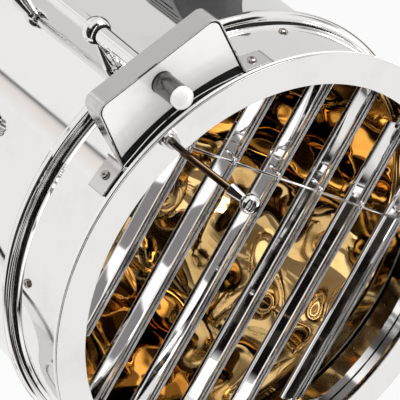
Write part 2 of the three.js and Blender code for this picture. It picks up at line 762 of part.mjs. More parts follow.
function switchButton() {
  return turned([[0, 41], [15.5, 41], [15.5, 50], [12, 52], [0, 53]], 24).translate(0, SWITCH_Y, 0);
}
piece("base_cover", baseCover(), NICKEL, lamp);
piece("base_hub", baseHub(), NICKEL, lamp);
piece("base_weight", baseWeight(), IRON, lamp);
piece("base_pad", basePad(), RUBBER, lamp);
piece("cable_gland", cableGland(), RUBBER, lamp);
piece("switch_housing", switchHousing(), NICKEL, lamp);
piece("switch_button", switchButton(), NICKEL, lamp);

export default lamp;
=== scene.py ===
# A searchlight floor lamp: mirror-polished nickel, a gold-tinted reflector behind upright louvres,
# and a slim column on a round weighted base. Every length is in metres unless it ends in "mm".
import bmesh
import bpy
import math
from mathutils import Matrix, Vector


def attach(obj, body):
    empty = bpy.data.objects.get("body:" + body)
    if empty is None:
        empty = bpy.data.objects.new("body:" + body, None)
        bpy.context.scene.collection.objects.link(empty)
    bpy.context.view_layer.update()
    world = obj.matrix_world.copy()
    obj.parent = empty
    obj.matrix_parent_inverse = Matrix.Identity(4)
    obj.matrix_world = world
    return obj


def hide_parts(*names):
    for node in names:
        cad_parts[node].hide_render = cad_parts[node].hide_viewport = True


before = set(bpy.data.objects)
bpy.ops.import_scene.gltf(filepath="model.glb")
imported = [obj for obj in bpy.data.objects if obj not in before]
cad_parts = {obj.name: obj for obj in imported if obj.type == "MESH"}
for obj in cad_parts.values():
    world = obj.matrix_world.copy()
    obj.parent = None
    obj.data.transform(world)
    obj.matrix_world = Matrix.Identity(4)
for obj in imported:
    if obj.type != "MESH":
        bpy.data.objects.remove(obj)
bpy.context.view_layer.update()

# The photographer's place: a little above the lamp's head and to its left, rolled to the photograph's
# framing. The lens is long, so only a part of the head fills the picture.
camera_data = bpy.data.cameras.new("camera")
camera_data.sensor_width = 36
camera_data.lens = 328.5
camera_data.clip_end = 200
camera = bpy.data.objects.new("camera", camera_data)
bpy.context.scene.collection.objects.link(camera)
bpy.context.scene.camera = camera
camera_right = Vector((0.6723357, -0.5645552, 0.4787924)).normalized()
camera_forward = Vector((0.7058506, 0.6838073, -0.1848852))
camera_forward = (camera_forward - camera_right * camera_forward.dot(camera_right)).normalized()
camera_up = camera_right.cross(camera_forward)
camera_place = Vector((-2.4144298, -2.4337116, 2.0198645))
camera.matrix_world = Matrix.Translation(camera_place) @ Matrix(
    (camera_right, camera_up, -camera_forward)
).transposed().to_4x4()

# The studio: an even white room with dark curtains on the photographer's side, which only the polished
# surfaces show, and two soft lamps. The floor is pale and keeps the lamp's shadow.
bpy.context.scene.view_settings.view_transform = "Standard"
world = bpy.data.worlds.new("white_room")
bpy.context.scene.world = world
world.use_nodes = True
room = world.node_tree
room.nodes.clear()


def add(tree, kind, **values):
    """A new node in a tree, with its properties and the values of its named inputs."""
    node = tree.nodes.new(kind)
    for name, value in values.items():
        if name in node.bl_rna.properties:
            setattr(node, name, value)
        else:
            node.inputs[name.replace("_", " ")].default_value = value
    return node


def join(tree, *pairs):
    """Links each pair of sockets."""
    for start, end in pairs:
        tree.links.new(start, end)


def fill(tree, node, sources):
    """Links or sets the node's inputs in order, and gives its first output."""
    for socket, source in zip(node.inputs, sources):
        if isinstance(source, bpy.types.NodeSocket):
            tree.links.new(source, socket)
        elif source is not None:
            socket.default_value = source
    return node.outputs[0]


def maths(tree, operation, *sources):
    return fill(tree, add(tree, "ShaderNodeMath", operation=operation), sources)


def vectors(tree, operation, *sources):
    node = add(tree, "ShaderNodeVectorMath", operation=operation)
    fill(tree, node, sources)
    return node.outputs["Value" if operation in ("DOT_PRODUCT", "LENGTH") else "Vector"]


def eased(tree, source, low, high, start=0.0, end=1.0):
    """Goes smoothly from start to end as the source passes from low to high."""
    node = add(tree, "ShaderNodeMapRange", interpolation_type="SMOOTHSTEP")
    return fill(tree, node, (source, low, high, start, end))


def blended(tree, share, first, second):
    """One colour that gives way to another."""
    node = add(tree, "ShaderNodeMix", data_type="RGBA")
    for index, source in ((0, share), (6, first), (7, second)):
        if isinstance(source, bpy.types.NodeSocket):
            tree.links.new(source, node.inputs[index])
        else:
            node.inputs[index].default_value = source
    return node.outputs[2]


def graded(tree, source, stops):
    """A colour for each value of the source, from a list of (value between -180 and 180, grey or colour)."""
    position = fill(tree, add(tree, "ShaderNodeMapRange"), (source, -180.0, 180.0, 0.0, 1.0))
    ramp = add(tree, "ShaderNodeValToRGB")
    elements = ramp.color_ramp.elements
    while len(elements) < len(stops):
        elements.new(0.5)
    for element, (value, colour) in zip(elements, sorted(stops)):
        element.position = (value + 180) / 360
        element.color = (*(colour if isinstance(colour, tuple) else (colour,) * 3), 1)
    tree.links.new(position, ramp.inputs[0])
    return ramp.outputs[0]


def bearing(tree, across, ahead):
    """The angle in degrees of a direction, from its parts across and ahead."""
    return maths(tree, "MULTIPLY", maths(tree, "ARCTAN2", across, ahead), math.degrees(1))


def curtains():
    """The room round the lamp, by bearing from straight in front of it.

    Dark curtains with a few light gaps hang in front, and soft shadows cross all but the white panel.
    """
    group = bpy.data.node_groups.new("curtained_room", "ShaderNodeTree")
    group.interface.new_socket("Direction", in_out="INPUT", socket_type="NodeSocketVector")
    patch_size = group.interface.new_socket("Patch Size", in_out="INPUT", socket_type="NodeSocketFloat")
    patch_size.default_value = 3
    group.interface.new_socket("Color", in_out="OUTPUT", socket_type="NodeSocketColor")
    start = add(group, "NodeGroupInput")
    end = add(group, "NodeGroupOutput")
    parts = add(group, "ShaderNodeSeparateXYZ")
    join(group, (start.outputs["Direction"], parts.inputs[0]))
    around = bearing(group, parts.outputs["X"], maths(group, "MULTIPLY", parts.outputs["Y"], -1.0))
    cloth = (0.02, 0.016, 0.013)
    walls = [
        (-180, 0.9), (-124, 0.9), (-118, 0.06), (-97, 0.06), (-90, cloth), (-66, cloth), (-64, 0.8),
        (-60, 0.8), (-58, cloth), (-51, cloth), (-49, 0.7), (-43, 0.7), (-41, cloth), (-24, cloth),
        (-22, 0.9), (-19, 0.9), (-17, cloth), (4, cloth), (7.5, 0.9), (11, cloth), (30, cloth), (33, 0.9),
        (58, 0.9), (62, 0.35), (76, 0.8), (80.6, 0.75), (81.6, (0.72, 0.62, 0.52)), (87, (0.42, 0.33, 0.25)),
        (90, cloth), (102, cloth), (107, 0.9),
    ]
    patches = add(group, "ShaderNodeTexNoise", Detail=0)
    join(
        group,
        (start.outputs["Direction"], patches.inputs["Vector"]),
        (start.outputs["Patch Size"], patches.inputs["Scale"]),
    )
    shaded = eased(group, patches.outputs["Fac"], 0.47, 0.5)
    shadow_stops = [(-110, 0), (-105, 1), (28, 1), (31, 0), (60, 0), (62, 1), (102, 1), (106, 0)]
    in_curtains = graded(group, around, shadow_stops)
    shaded = maths(group, "MULTIPLY", shaded, in_curtains)
    hangings = graded(group, around, walls)
    # The light gaps are brighter than the panel, so their reflections in curved metal stay sharp.
    brighter = maths(group, "MULTIPLY_ADD", in_curtains, 0.8, 1.0)
    scaled = add(group, "ShaderNodeVectorMath", operation="SCALE")
    hangings = fill(group, scaled, (hangings, None, None, brighter))
    dimmed = vectors(group, "MULTIPLY", hangings, (0.18, 0.17, 0.17))
    join(group, (blended(group, shaded, hangings, dimmed), end.inputs["Color"]))
    return group


curtained_room = curtains()
direction = add(room, "ShaderNodeTexCoord").outputs["Generated"]
spread = add(room, "ShaderNodeSeparateXYZ")
hung = add(room, "ShaderNodeGroup", node_tree=curtained_room)
join(room, (direction, spread.inputs[0]), (direction, hung.inputs["Direction"]))
# Above the curtains, and behind the lamp, the room is white again.
above = eased(room, spread.outputs["Z"], 0.82, 0.9)
white_part = maths(room, "MAXIMUM", above, eased(room, spread.outputs["Y"], -0.1, 0.1))
walls = blended(room, white_part, hung.outputs["Color"], (0.9, 0.9, 0.9, 1))
# A dark ring behind the lamp draws the thin dark outline of each rounded piece.
facing = vectors(room, "DOT_PRODUCT", direction, tuple(camera_forward))
ring = maths(room, "MULTIPLY", eased(room, facing, 0.64, 0.7), eased(room, facing, 0.98, 0.99, 1.0, 0.0))
walls = blended(room, ring, walls, (0.03, 0.03, 0.03, 1))
# The band of the room that lies along the drum's side: white low on the left, with the floor's dark edge
# in it, and then greys.
off_band = maths(room, "ABSOLUTE", maths(room, "SUBTRACT", spread.outputs["Y"], camera_forward.y))
on_band = eased(room, off_band, 0.07, 0.13, 1.0, 0.0)
band_stops = [
    (-91, 0.92), (-83, (0.84, 0.78, 0.75)), (-80.6, 0.5), (-80.1, 0.08), (-79.6, 0.08), (-79.2, 0.92),
    (-48, 0.92), (-45, 0.66), (-36, 0.66), (-33, 0.72), (180, 0.75),
]
band = graded(room, bearing(room, spread.outputs["X"], spread.outputs["Z"]), band_stops)
walls = blended(room, on_band, walls, band)
rays = add(room, "ShaderNodeLightPath")
shown = blended(room, rays.outputs["Is Glossy Ray"], (1, 1, 1, 1), walls)
glow = add(room, "ShaderNodeBackground", Strength=1)
room_output = add(room, "ShaderNodeOutputWorld")
join(room, (shown, glow.inputs["Color"]), (glow.outputs[0], room_output.inputs["Surface"]))


def soft_lamp(name, place, target, size, watts):
    data = bpy.data.lights.new(name, "AREA")
    data.shape = "DISK"
    data.size = size
    data.energy = watts
    lamp = bpy.data.objects.new(name, data)
    lamp.location = place
    lamp.rotation_euler = (Vector(target) - Vector(place)).to_track_quat("-Z", "Y").to_euler()
    bpy.context.scene.collection.objects.link(lamp)


soft_lamp("lamp_above", (-0.6, -0.2, 4.2), (0, 0, 1.2), 1.6, 26)
soft_lamp("lamp_right", (3.2, -2.6, 2.6), (0, -0.1, 1.3), 1.2, 22)

floor_mesh = bpy.data.meshes.new("floor")
FLOOR_HALF = 40
floor_mesh.from_pydata(
    [(x * FLOOR_HALF, y * FLOOR_HALF, 0) for x, y in ((-1, -1), (1, -1), (1, 1), (-1, 1))], [], [(0, 1, 2, 3)]
)
floor = bpy.data.objects.new("floor", floor_mesh)
bpy.context.scene.collection.objects.link(floor)
paper = bpy.data.materials.new("pale_floor")
paper.use_nodes = True
tree = paper.node_tree
tree.nodes.clear()
matt = add(tree, "ShaderNodeBsdfDiffuse", Color=(0.86, 0.86, 0.86, 1))
rays = add(tree, "ShaderNodeLightPath")
place = add(tree, "ShaderNodeNewGeometry").outputs["Position"]
hung = add(tree, "ShaderNodeGroup", node_tree=curtained_room)
hung.inputs["Patch Size"].default_value = 0.8
join(tree, (place, hung.inputs["Direction"]))
far = eased(tree, vectors(tree, "LENGTH", place), 0.45, 0.8)
in_mirror = maths(tree, "MULTIPLY", far, rays.outputs["Is Glossy Ray"])
white = add(tree, "ShaderNodeEmission", Strength=1)
join(tree, (blended(tree, in_mirror, (1, 1, 1, 1), hung.outputs["Color"]), white.inputs["Color"]))
SHADOW_KEPT = 0.7
seen = maths(tree, "MAXIMUM", rays.outputs["Is Camera Ray"], rays.outputs["Is Transmission Ray"])
seen = maths(tree, "MULTIPLY", maths(tree, "MAXIMUM", seen, rays.outputs["Is Glossy Ray"]), SHADOW_KEPT)
seen = maths(tree, "MAXIMUM", seen, in_mirror)
blend = add(tree, "ShaderNodeMixShader")
output = add(tree, "ShaderNodeOutputMaterial")
join(
    tree,
    (seen, blend.inputs[0]),
    (matt.outputs[0], blend.inputs[1]),
    (white.outputs[0], blend.inputs[2]),
    (blend.outputs[0], output.inputs["Surface"]),
)
floor_mesh.materials.append(paper)

# The base: a spun steel cover with a raised hub, nickel-plated and polished, over a cast weight.
# A rubber pad under it meets the floor, and a soft gland at the back is where a lead would go in.


def smudges():
    """What handling leaves on polished metal: soft patches of haze and fine hairline scuffs."""
    group = bpy.data.node_groups.new("handling_marks", "ShaderNodeTree")
    for name, kind, low in (("Clean Roughness", "NodeSocketFloat", 0.04), ("Haze", "NodeSocketFloat", 0.05)):
        socket = group.interface.new_socket(name, in_out="INPUT", socket_type=kind)
        socket.default_value = low
    scale = group.interface.new_socket("Patch Size", in_out="INPUT", socket_type="NodeSocketFloat")
    scale.default_value = 14
    for name in ("Roughness", "Height", "Mask"):
        group.interface.new_socket(name, in_out="OUTPUT", socket_type="NodeSocketFloat")
    start = add(group, "NodeGroupInput")
    end = add(group, "NodeGroupOutput")
    place = add(group, "ShaderNodeTexCoord").outputs["Object"]
    patches = add(group, "ShaderNodeTexNoise", Detail=5, Roughness=0.6)
    hairlines = add(group, "ShaderNodeTexNoise", Scale=900, Detail=2)
    mask = eased(group, patches.outputs["Fac"], 0.48, 0.72)
    rough = maths(group, "MULTIPLY_ADD", mask, start.outputs["Haze"], start.outputs["Clean Roughness"])
    height = maths(group, "MULTIPLY_ADD", hairlines.outputs["Fac"], 0.15, patches.outputs["Fac"])
    join(
        group,
        (place, patches.inputs["Vector"]),
        (place, hairlines.inputs["Vector"]),
        (start.outputs["Patch Size"], patches.inputs["Scale"]),
        (rough, end.inputs["Roughness"]),
        (height, end.inputs["Height"]),
        (mask, end.inputs["Mask"]),
    )
    return group


marks = smudges()


def surface(name):
    """A new material, its node tree and its shader."""
    material = bpy.data.materials.new(name)
    material.use_nodes = True
    return material, material.node_tree, material.node_tree.nodes["Principled BSDF"]


def noise(tree, scale, detail):
    return add(tree, "ShaderNodeTexNoise", Scale=scale, Detail=detail).outputs["Fac"]


def bumped(tree, height, strength, distance, normal=None):
    """The normal of a surface that a height raises and sinks."""
    node = add(tree, "ShaderNodeBump", Strength=strength, Distance=distance)
    join(tree, (height, node.inputs["Height"]))
    if normal:
        join(tree, (normal, node.inputs["Normal"]))
    return node.outputs["Normal"]


def polished(name, bright, dull, clean=0.04, haze=0.05, patch=14, dent=0.02, waves=None):
    """Mirror-finished metal whose colour and gloss change a little where it has been handled.

    Soft dents or waves, as (scale, depth), bend what it mirrors.
    """
    material, tree, metal = surface(name)
    metal.inputs["Metallic"].default_value = 1
    worn = add(tree, "ShaderNodeGroup", node_tree=marks)
    for socket, value in (("Clean Roughness", clean), ("Haze", haze), ("Patch Size", patch)):
        worn.inputs[socket].default_value = value
    bent = None
    if waves:
        scale, depth = waves
        swell = add(tree, "ShaderNodeTexNoise", Scale=scale, Detail=1)
        join(tree, (add(tree, "ShaderNodeTexCoord").outputs["Object"], swell.inputs["Vector"]))
        bent = bumped(tree, swell.outputs["Fac"], 1, depth)
    join(
        tree,
        (blended(tree, worn.outputs["Mask"], (*bright, 1), (*dull, 1)), metal.inputs["Base Color"]),
        (worn.outputs["Roughness"], metal.inputs["Roughness"]),
        (bumped(tree, worn.outputs["Height"], dent, 0.0004, bent), metal.inputs["Normal"]),
    )
    return material


nickel = polished("polished_nickel", (0.9, 0.89, 0.88), (0.83, 0.82, 0.8))
MM = 0.001


def turn(angle, axis):
    """A rotation matrix from an angle in degrees."""
    return Matrix.Rotation(math.radians(angle), 4, axis)


def rounded(outline, radius, closed):
    """The outline with each corner turned on a small radius, and a point on each side to keep flats flat."""
    points = [Vector(p) for p in outline]
    count = len(points)
    result = []
    for i, corner in enumerate(points):
        if not closed and i in (0, count - 1):
            result.append(corner)
            continue
        before, after = points[i - 1] - corner, points[(i + 1) % count] - corner
        corner_turn = math.pi - before.angle(after)
        if corner_turn < math.radians(14) or radius == 0:
            result.append(corner)
            continue
        reach = min(radius * math.tan(corner_turn / 2), 0.4 * before.length, 0.4 * after.length)
        start = corner + before.normalized() * reach
        finish = corner + after.normalized() * reach
        result.append(start + before.normalized() * 0.1 * reach)
        steps = 4
        for k in range(steps + 1):
            t = k / steps
            result.append(start * (1 - t) ** 2 + corner * 2 * t * (1 - t) + finish * t**2)
        result.append(finish + after.normalized() * 0.1 * reach)
    return result


def piece(name, mesh, material, body, nodes=(), matrix=Matrix.Identity(4)):
    """Puts a finished mesh in its place, on the body that it moves with."""
    obj = bpy.data.objects.new(name, mesh)
    bpy.context.scene.collection.objects.link(obj)
    obj.matrix_world = matrix
    if not mesh.materials:
        mesh.materials.append(material)
    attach(obj, body)
    if nodes:
        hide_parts(*nodes)
    return obj


def clean_mesh(name, vertices, faces):
    """A smooth-shaded mesh in metres, from millimetres, with its faces turned outwards."""
    mesh = bpy.data.meshes.new(name)
    mesh.from_pydata([Vector(v) * MM for v in vertices], [], faces)
    shape = bmesh.new()
    shape.from_mesh(mesh)
    bmesh.ops.remove_doubles(shape, verts=shape.verts, dist=1e-7)
    bmesh.ops.recalc_face_normals(shape, faces=shape.faces)
    for face in shape.faces:
        face.smooth = True
    shape.to_mesh(mesh)
    shape.free()
    return mesh


def turned(name, outline, radius=0.6, steps=192, closed=False, flute=None):
    """A mesh turned about Z from an outline of (radius, height), in millimetres."""
    profile = rounded(outline, radius, closed)
    vertices, faces = [], []
    for i in range(steps):
        angle = 2 * math.pi * i / steps
        for r, h in profile:
            wide = r if flute is None else flute(r, h, angle)
            vertices.append((wide * math.cos(angle), wide * math.sin(angle), h))
    rows = len(profile)
    for i in range(steps):
        j = (i + 1) % steps
        for k in range(rows if closed else rows - 1):
            m = (k + 1) % rows
            faces.append((i * rows + k, j * rows + k, j * rows + m, i * rows + m))
    return clean_mesh(name, vertices, faces)


def turning(name, outline, body, nodes=(), radius=0.8, steps=96, closed=False, matrix=Matrix.Identity(4)):
    """A turned and nickel-plated piece in its place."""
    return piece(name, turned(name, outline, radius, steps, closed), nickel, body, nodes, matrix=matrix)


cover_outline = [
    (198, 4), (200, 4), (200, 22), (192, 27), (184, 27), (178, 34), (8, 34), (8, 32), (177, 32), (183, 25),
    (191, 25), (198, 20),
]
turning("base_cover_polished", cover_outline, "stand", ["base_cover"], 3, 192, True)

hub_outline = [(8, 34.3), (60, 34.3), (60, 37), (44, 41), (36, 50), (34, 66), (8, 66)]
turning("base_hub_turning", hub_outline, "stand", ["base_hub"], 2, closed=True)

# Black rubber for the pad, the gland and the seals. The same black is also painted shade: inside the sight
# bracket, under its feet, in the rings where the rail's pieces meet, and in the screws' recesses.
rubber, tree, skin = surface("black_rubber")
skin.inputs["Base Color"].default_value = (0.012, 0.012, 0.012, 1)
grain = noise(tree, 600, 4)
join(
    tree,
    (fill(tree, add(tree, "ShaderNodeMapRange"), (grain, 0, 1, 0.6, 0.9)), skin.inputs["Roughness"]),
    (bumped(tree, grain, 0.1, 0.0001), skin.inputs["Normal"]),
)
pad_mesh = turned("base_pad_rubber", [(0, 0), (194, 0), (194, 4), (0, 4)], 0.8)
piece("base_pad_rubber", pad_mesh, rubber, "stand", ["base_pad"])

ALONG_Y = turn(-90, "X")
gland_outline = [
    (3.8, 0), (10, 0), (10, 3), (7, 4), (6.6, 6), (7, 7), (6.4, 9), (6.7, 10), (6, 14), (3.8, 14),
]
gland_mesh = turned("cable_gland_rubber", gland_outline, 0.4, 64, closed=True)
piece("cable_gland_rubber", gland_mesh, rubber, "stand", ["cable_gland"],
      Matrix.Translation((0, 200.3 * MM, 14 * MM)) @ ALONG_Y)

cast, tree, iron = surface("rough_casting")
iron.inputs["Metallic"].default_value = 1
iron.inputs["Base Color"].default_value = (0.07, 0.07, 0.075, 1)
sand = noise(tree, 250, 6)
join(tree, (sand, iron.inputs["Roughness"]), (bumped(tree, sand, 0.6, 0.001), iron.inputs["Normal"]))
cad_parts["base_weight"].data.materials.clear()
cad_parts["base_weight"].data.materials.append(cast)

# The foot switch: a turned ring on the base's front, with a domed button that springs back.
# Both are plated brass turnings.
SWITCH_PLACE = Matrix.Translation((0, -125 * MM, 0))
ring_outline = [(0, 34.3), (20, 34.3), (20, 42), (18.5, 44), (16, 44), (16, 36), (0, 36)]
turning("switch_ring", ring_outline, "stand", ["switch_housing"], 0.6, matrix=SWITCH_PLACE)
button_outline = [(0, 41), (15.5, 41), (15.5, 49.4), (14.4, 51), (11, 52.1), (6, 52.8), (0, 53)]
turning("switch_cap", button_outline, "floor_switch", ["switch_button"], matrix=SWITCH_PLACE)

# The column: two polished tubes, the lower one thicker, screwed into a turned collar.
# Both are drawn brass, plated.
lower_tube = [(18, 66.3), (20, 66.3), (20, 539.7), (18, 539.7)]
turning("column_lower_tube", lower_tube, "stand", ["column_lower"], 0.5, closed=True)
collar_outline = [
    (12, 540), (24, 540), (27, 544), (27.4, 548), (27, 552), (24.2, 556), (22, 562), (20.6, 571), (20, 580),
    (12, 580),
]
turning("column_joint", collar_outline, "stand", ["column_collar"], 1.2, closed=True)
upper_tube = [(14, 580.3), (16, 580.3), (16, 935.1), (14, 935.1)]
turning("column_upper_tube", upper_tube, "stand", ["column_upper"], 0.5, closed=True)

# The swivel: a bored housing that the yoke's stem turns in, with a fluted lock screw at the back.
# The housing is a plated turning.
housing_outline = [
    (0, 935.4), (18, 935.4), (21, 939), (24, 945.4), (24, 1015.4), (28, 1016.4), (28, 1019.4), (13.5, 1019.4),
    (13.5, 957.4), (0, 957.4),
]
turning("swivel_sleeve", housing_outline, "stand", ["swivel_housing"], 1)


def fluted(flutes, depth):
    """A radius that dips in round grooves, as a knob's grip does, and stays round near its ends."""
    def radius(r, h, angle):
        groove = (0.5 + 0.5 * math.cos(flutes * angle)) ** 3
        return r * (1 - depth * groove * (1 if r > 8.5 else 0))
    return radius


grip_outline = [(4, 0), (9.6, 0), (14, 1.4), (16, 3), (16, 16), (14.6, 19), (12, 20), (5, 20.4), (0, 20.6)]
lock_outline = [(0, -14), (4, -14), (4, 1.2), (4, 1.3)] + grip_outline[1:]
lock_mesh = turned("swivel_lock_grip", lock_outline, 0.8, 160, flute=fluted(8, 0.12))
piece("swivel_lock_grip", lock_mesh, nickel, "swivel_clamp", ["swivel_lock"],
      matrix=Matrix.Translation((0, 28 * MM, 989.4 * MM)) @ ALONG_Y)

# The yoke: a flat bar bent to a U, with a round eye at each end for the head's trunnions.
# It is plated steel, and a turned stem under its middle stands in the swivel.
YOKE_HIGH = 1370
YOKE_SIDE = 226
YOKE_LOW = -338
YOKE_BEND = 110


def tube_faces(rings, count, start=0):
    """Faces that join rings of vertices one after another, and close both ends."""
    faces = []
    for i in range(rings - 1):
        low, high = start + i * count, start + (i + 1) * count
        for k in range(count):
            m = (k + 1) % count
            faces.append((low + k, low + m, high + m, high + k))
    faces.append(tuple(range(start, start + count)))
    faces.append(tuple(range(start + (rings - 1) * count, start + rings * count)))
    return faces


def swept(name, path, section, radius=1.0):
    """A mesh that carries a closed section of (across, along Y) along an open path of (x, z)."""
    rim = rounded(section, radius, True)
    points = [Vector(p) for p in path]
    vertices = []
    for i, point in enumerate(points):
        before = (point - points[max(i - 1, 0)]).normalized()
        after = (points[min(i + 1, len(points) - 1)] - point).normalized()
        heading = (before + after).normalized()
        normal = Vector((-heading.y, heading.x))
        straight = before if before.length else after
        stretch = 1 / max(normal.dot(Vector((-straight.y, straight.x))), 0.3)
        for across, depth in rim:
            spot = point + normal * across * stretch
            vertices.append((spot.x, depth, spot.y))
    return clean_mesh(name, vertices, tube_faces(len(points), len(rim)))


def bend(centre, radius, start, end, steps):
    """Points round a bend, from one angle to another in degrees."""
    angles = [math.radians(start + (end - start) * i / steps) for i in range(steps + 1)]
    return [(centre[0] + radius * math.cos(a), centre[1] + radius * math.sin(a)) for a in angles]


right_half = [(YOKE_SIDE, 0)] + bend((YOKE_SIDE - YOKE_BEND, YOKE_LOW + YOKE_BEND), YOKE_BEND, 0, -90, 40)
yoke_path = [(-x, z) for x, z in right_half] + right_half[::-1]
bar_section = [(-4, -17), (4, -17), (4, 17), (-4, 17)]
PIVOT = Matrix.Translation((0, 0, YOKE_HIGH * MM))


def drilled(obj, cutters):
    """Takes closed meshes out of a piece, and shades it smooth but for its sharp edges."""
    for cutter in cutters:
        cut = obj.modifiers.new("cut", "BOOLEAN")
        cut.operation, cut.solver, cut.object = "DIFFERENCE", "EXACT", cutter
        cut.material_mode = "TRANSFER"
    bpy.context.view_layer.update()
    shown = obj.evaluated_get(bpy.context.evaluated_depsgraph_get())
    mesh = bpy.data.meshes.new_from_object(shown)
    mesh.set_sharp_from_angle(angle=math.radians(50))
    obj.modifiers.clear()
    obj.data = mesh
    for cutter in cutters:
        bpy.data.objects.remove(cutter)


def cutter(mesh, matrix):
    obj = bpy.data.objects.new("cutter", mesh)
    bpy.context.scene.collection.objects.link(obj)
    obj.matrix_world = matrix
    return obj


bar_mesh = swept("yoke_bar", yoke_path, bar_section, 1.5)
yoke_bar = piece("yoke_bar", bar_mesh, nickel, "yoke", ["yoke_fork"], matrix=PIVOT)
eye_outline = [(9.5, -4), (18, -4), (18, 4), (9.5, 4)]
for side, name in ((-1, "left"), (1, "right")):
    across = PIVOT @ Matrix.Translation((side * YOKE_SIDE * MM, 0, 0)) @ turn(90, "Y")
    bore = turned(f"bore_{name}", [(0, -6), (9.5, -6), (9.5, 6), (0, 6)], 0, 96)
    drilled(yoke_bar, [cutter(bore, across)])
    turning(f"yoke_eye_{name}", eye_outline, "yoke", closed=True, matrix=across)
stem_outline = [
    (0, -408.3), (11.6, -408.3), (13, -407), (13, -350.3), (28, -350.3), (28, -344.3), (26, -342.3),
    (0, -342.3),
]
turning("yoke_stem_turning", stem_outline, "yoke", ["yoke_stem"], matrix=PIVOT)

# The drum: a rolled sheet sleeve with a spun dome behind it and a rolled bead at its front.
# A vent cap on a short stem keeps dust and fingers from the vent holes.
BEZEL_FRONT = -222
HEAD_LEVEL = Matrix.Translation((0, BEZEL_FRONT * MM, YOKE_HIGH * MM))
HEAD = HEAD_LEVEL @ ALONG_Y


def round_head_piece(name, outline, nodes, radius=0.5, closed=True, material=nickel, steps=256):
    """A piece of the head, turned about the drum's axis: heights count backwards from the bezel's face."""
    mesh = turned(name, outline, radius, steps, closed)
    return piece(name, mesh, material, "head", nodes, HEAD)


round_head_piece("drum_sleeve", [(211.5, 60), (213, 60), (213, 330), (211.5, 330)], ["drum_shell"])
bead_outline = (
    [(213.3, 90), (221, 90)]
    + bend((221, 96), 6, -90, 0, 10)[1:]
    + bend((221, 98), 6, 0, 90, 10)
    + [(213.3, 104)]
)
round_head_piece("drum_rolled_bead", bead_outline, ["drum_bead"], 0)


def oval(centre, wide, high, start, end, steps):
    """Points round a quarter of an oval."""
    angles = [math.radians(start + (end - start) * i / steps) for i in range(steps + 1)]
    return [(centre[0] + wide * math.cos(a), centre[1] + high * math.sin(a)) for a in angles]


dome_outline = (
    [(0, 396.3)]
    + oval((56, 336.3), 159, 60, 90, 0, 24)
    + [(215, 330.3), (217, 330.3)]
    + oval((56, 336.3), 161, 62, 0, 90, 24)
    + [(0, 398.3)]
)
dome = round_head_piece("drum_rear_dome", dome_outline, ["rear_dome"], 0.4, False)
vent = turned("vent", [(0, 385), (7, 385), (7, 405), (0, 405)], 0, 32)
VENT_RING = 38
vents = []
for i in range(8):
    angle = math.radians(45 * i + 22.5)
    spot = (VENT_RING * MM * math.cos(angle), VENT_RING * MM * math.sin(angle), 0)
    vents.append(cutter(vent, HEAD @ Matrix.Translation(spot)))
drilled(dome, vents)
cap_outline = [
    (0, 398.6), (12, 398.6), (12, 410.6), (70, 410.6), (72, 412), (71, 414.2), (62, 418), (46, 421),
    (26, 423), (0, 423.6),
]
round_head_piece("vent_cap_spinning", cap_outline, ["vent_cap"], 0.8, False)

# The collar and bezel: a band round the drum's front and a flat ring on its face, with a lacquered rim
# behind. Both are spun sheet, plated and polished, and four pan-head screws hold the band to the drum.
collar_band = [
    (204, 1.8), (217, 1.8), (217, 81.6), (217.7, 82.5), (218.5, 83.6), (218.6, 84.6), (218.2, 85.9),
    (217.2, 86.7), (215.5, 86.7), (215.5, 3.3), (204, 3.3),
]
round_head_piece("collar_band", collar_band, ["collar"], 0.3)
# A rubber seal under the collar's back edge. Its black, showing in the groove before the bead, is painted
# shade in the groove.
seal_outline = [(213.1, 80), (215.3, 80), (215.3, 89.8), (213.1, 89.8)]
round_head_piece("collar_seal_groove_shade", seal_outline, (), 0.3, material=rubber)
bezel_ring = [(200, 0), (231, 0), (231, 1.5), (201.5, 1.5), (201.5, 4), (200, 4)]
round_head_piece("bezel_ring", bezel_ring, ["bezel"], 0.7)
# A rubber gasket behind the bezel. Its black edge, showing at the bezel's outer edge, is painted shade in the
# gap there.
gasket_outline = [(217.2, 1.7), (229.4, 1.7), (229.4, 3.7), (217.2, 3.7)]
round_head_piece("bezel_gasket_gap_shade", gasket_outline, (), 0.2, material=rubber)
rim_outline = [(217.1, 3.9), (229.8, 3.9), (229.8, 7.2), (228.3, 7.2), (228.3, 5.4), (217.1, 5.4)]
lacquer, tree, coat = surface("pale_lacquer")
speckle = noise(tree, 90, 3)
join(
    tree,
    (blended(tree, speckle, (0.9, 0.9, 0.9, 1), (0.84, 0.84, 0.84, 1)), coat.inputs["Base Color"]),
    (eased(tree, speckle, 0.3, 0.7, 0.35, 0.5), coat.inputs["Roughness"]),
)
round_head_piece("bezel_back_rim", rim_outline, (), 0.4, material=lacquer)

screw_steel = polished("screw_steel", (0.48, 0.43, 0.4), (0.28, 0.24, 0.22), clean=0.1, haze=0.15, patch=60)


def pan_head():
    """A pan-head screw with a cross recess, its head's underside at height 0."""
    profile = [(0, 0), (4.6, 0), (4.6, 0.7), (4.1, 1.7), (2.9, 2.35), (1.4, 2.56), (0, 2.6)]
    head = bpy.data.objects.new("pan", turned("pan", profile, 0.3, 64))
    bpy.context.scene.collection.objects.link(head)
    arms = []
    for angle in (0, 90):
        wedge = [(-2.3, -0.5, 3.2), (2.3, -0.5, 3.2), (2.3, 0.5, 3.2), (-2.3, 0.5, 3.2),
                 (-1.1, -0.4, 0.9), (1.1, -0.4, 0.9), (1.1, 0.4, 0.9), (-1.1, 0.4, 0.9)]
        sides = [(0, 1, 2, 3), (7, 6, 5, 4), (0, 4, 5, 1), (1, 5, 6, 2), (2, 6, 7, 3), (3, 7, 4, 0)]
        arms.append(cutter(clean_mesh("wedge", wedge, sides), turn(angle, "Z")))
    head.data.materials.append(screw_steel)
    # The cross recess takes the arms' black: painted shade in the recess.
    for arm in arms:
        arm.data.materials.append(rubber)
    drilled(head, arms)
    mesh = head.data
    bpy.data.objects.remove(head)
    return mesh


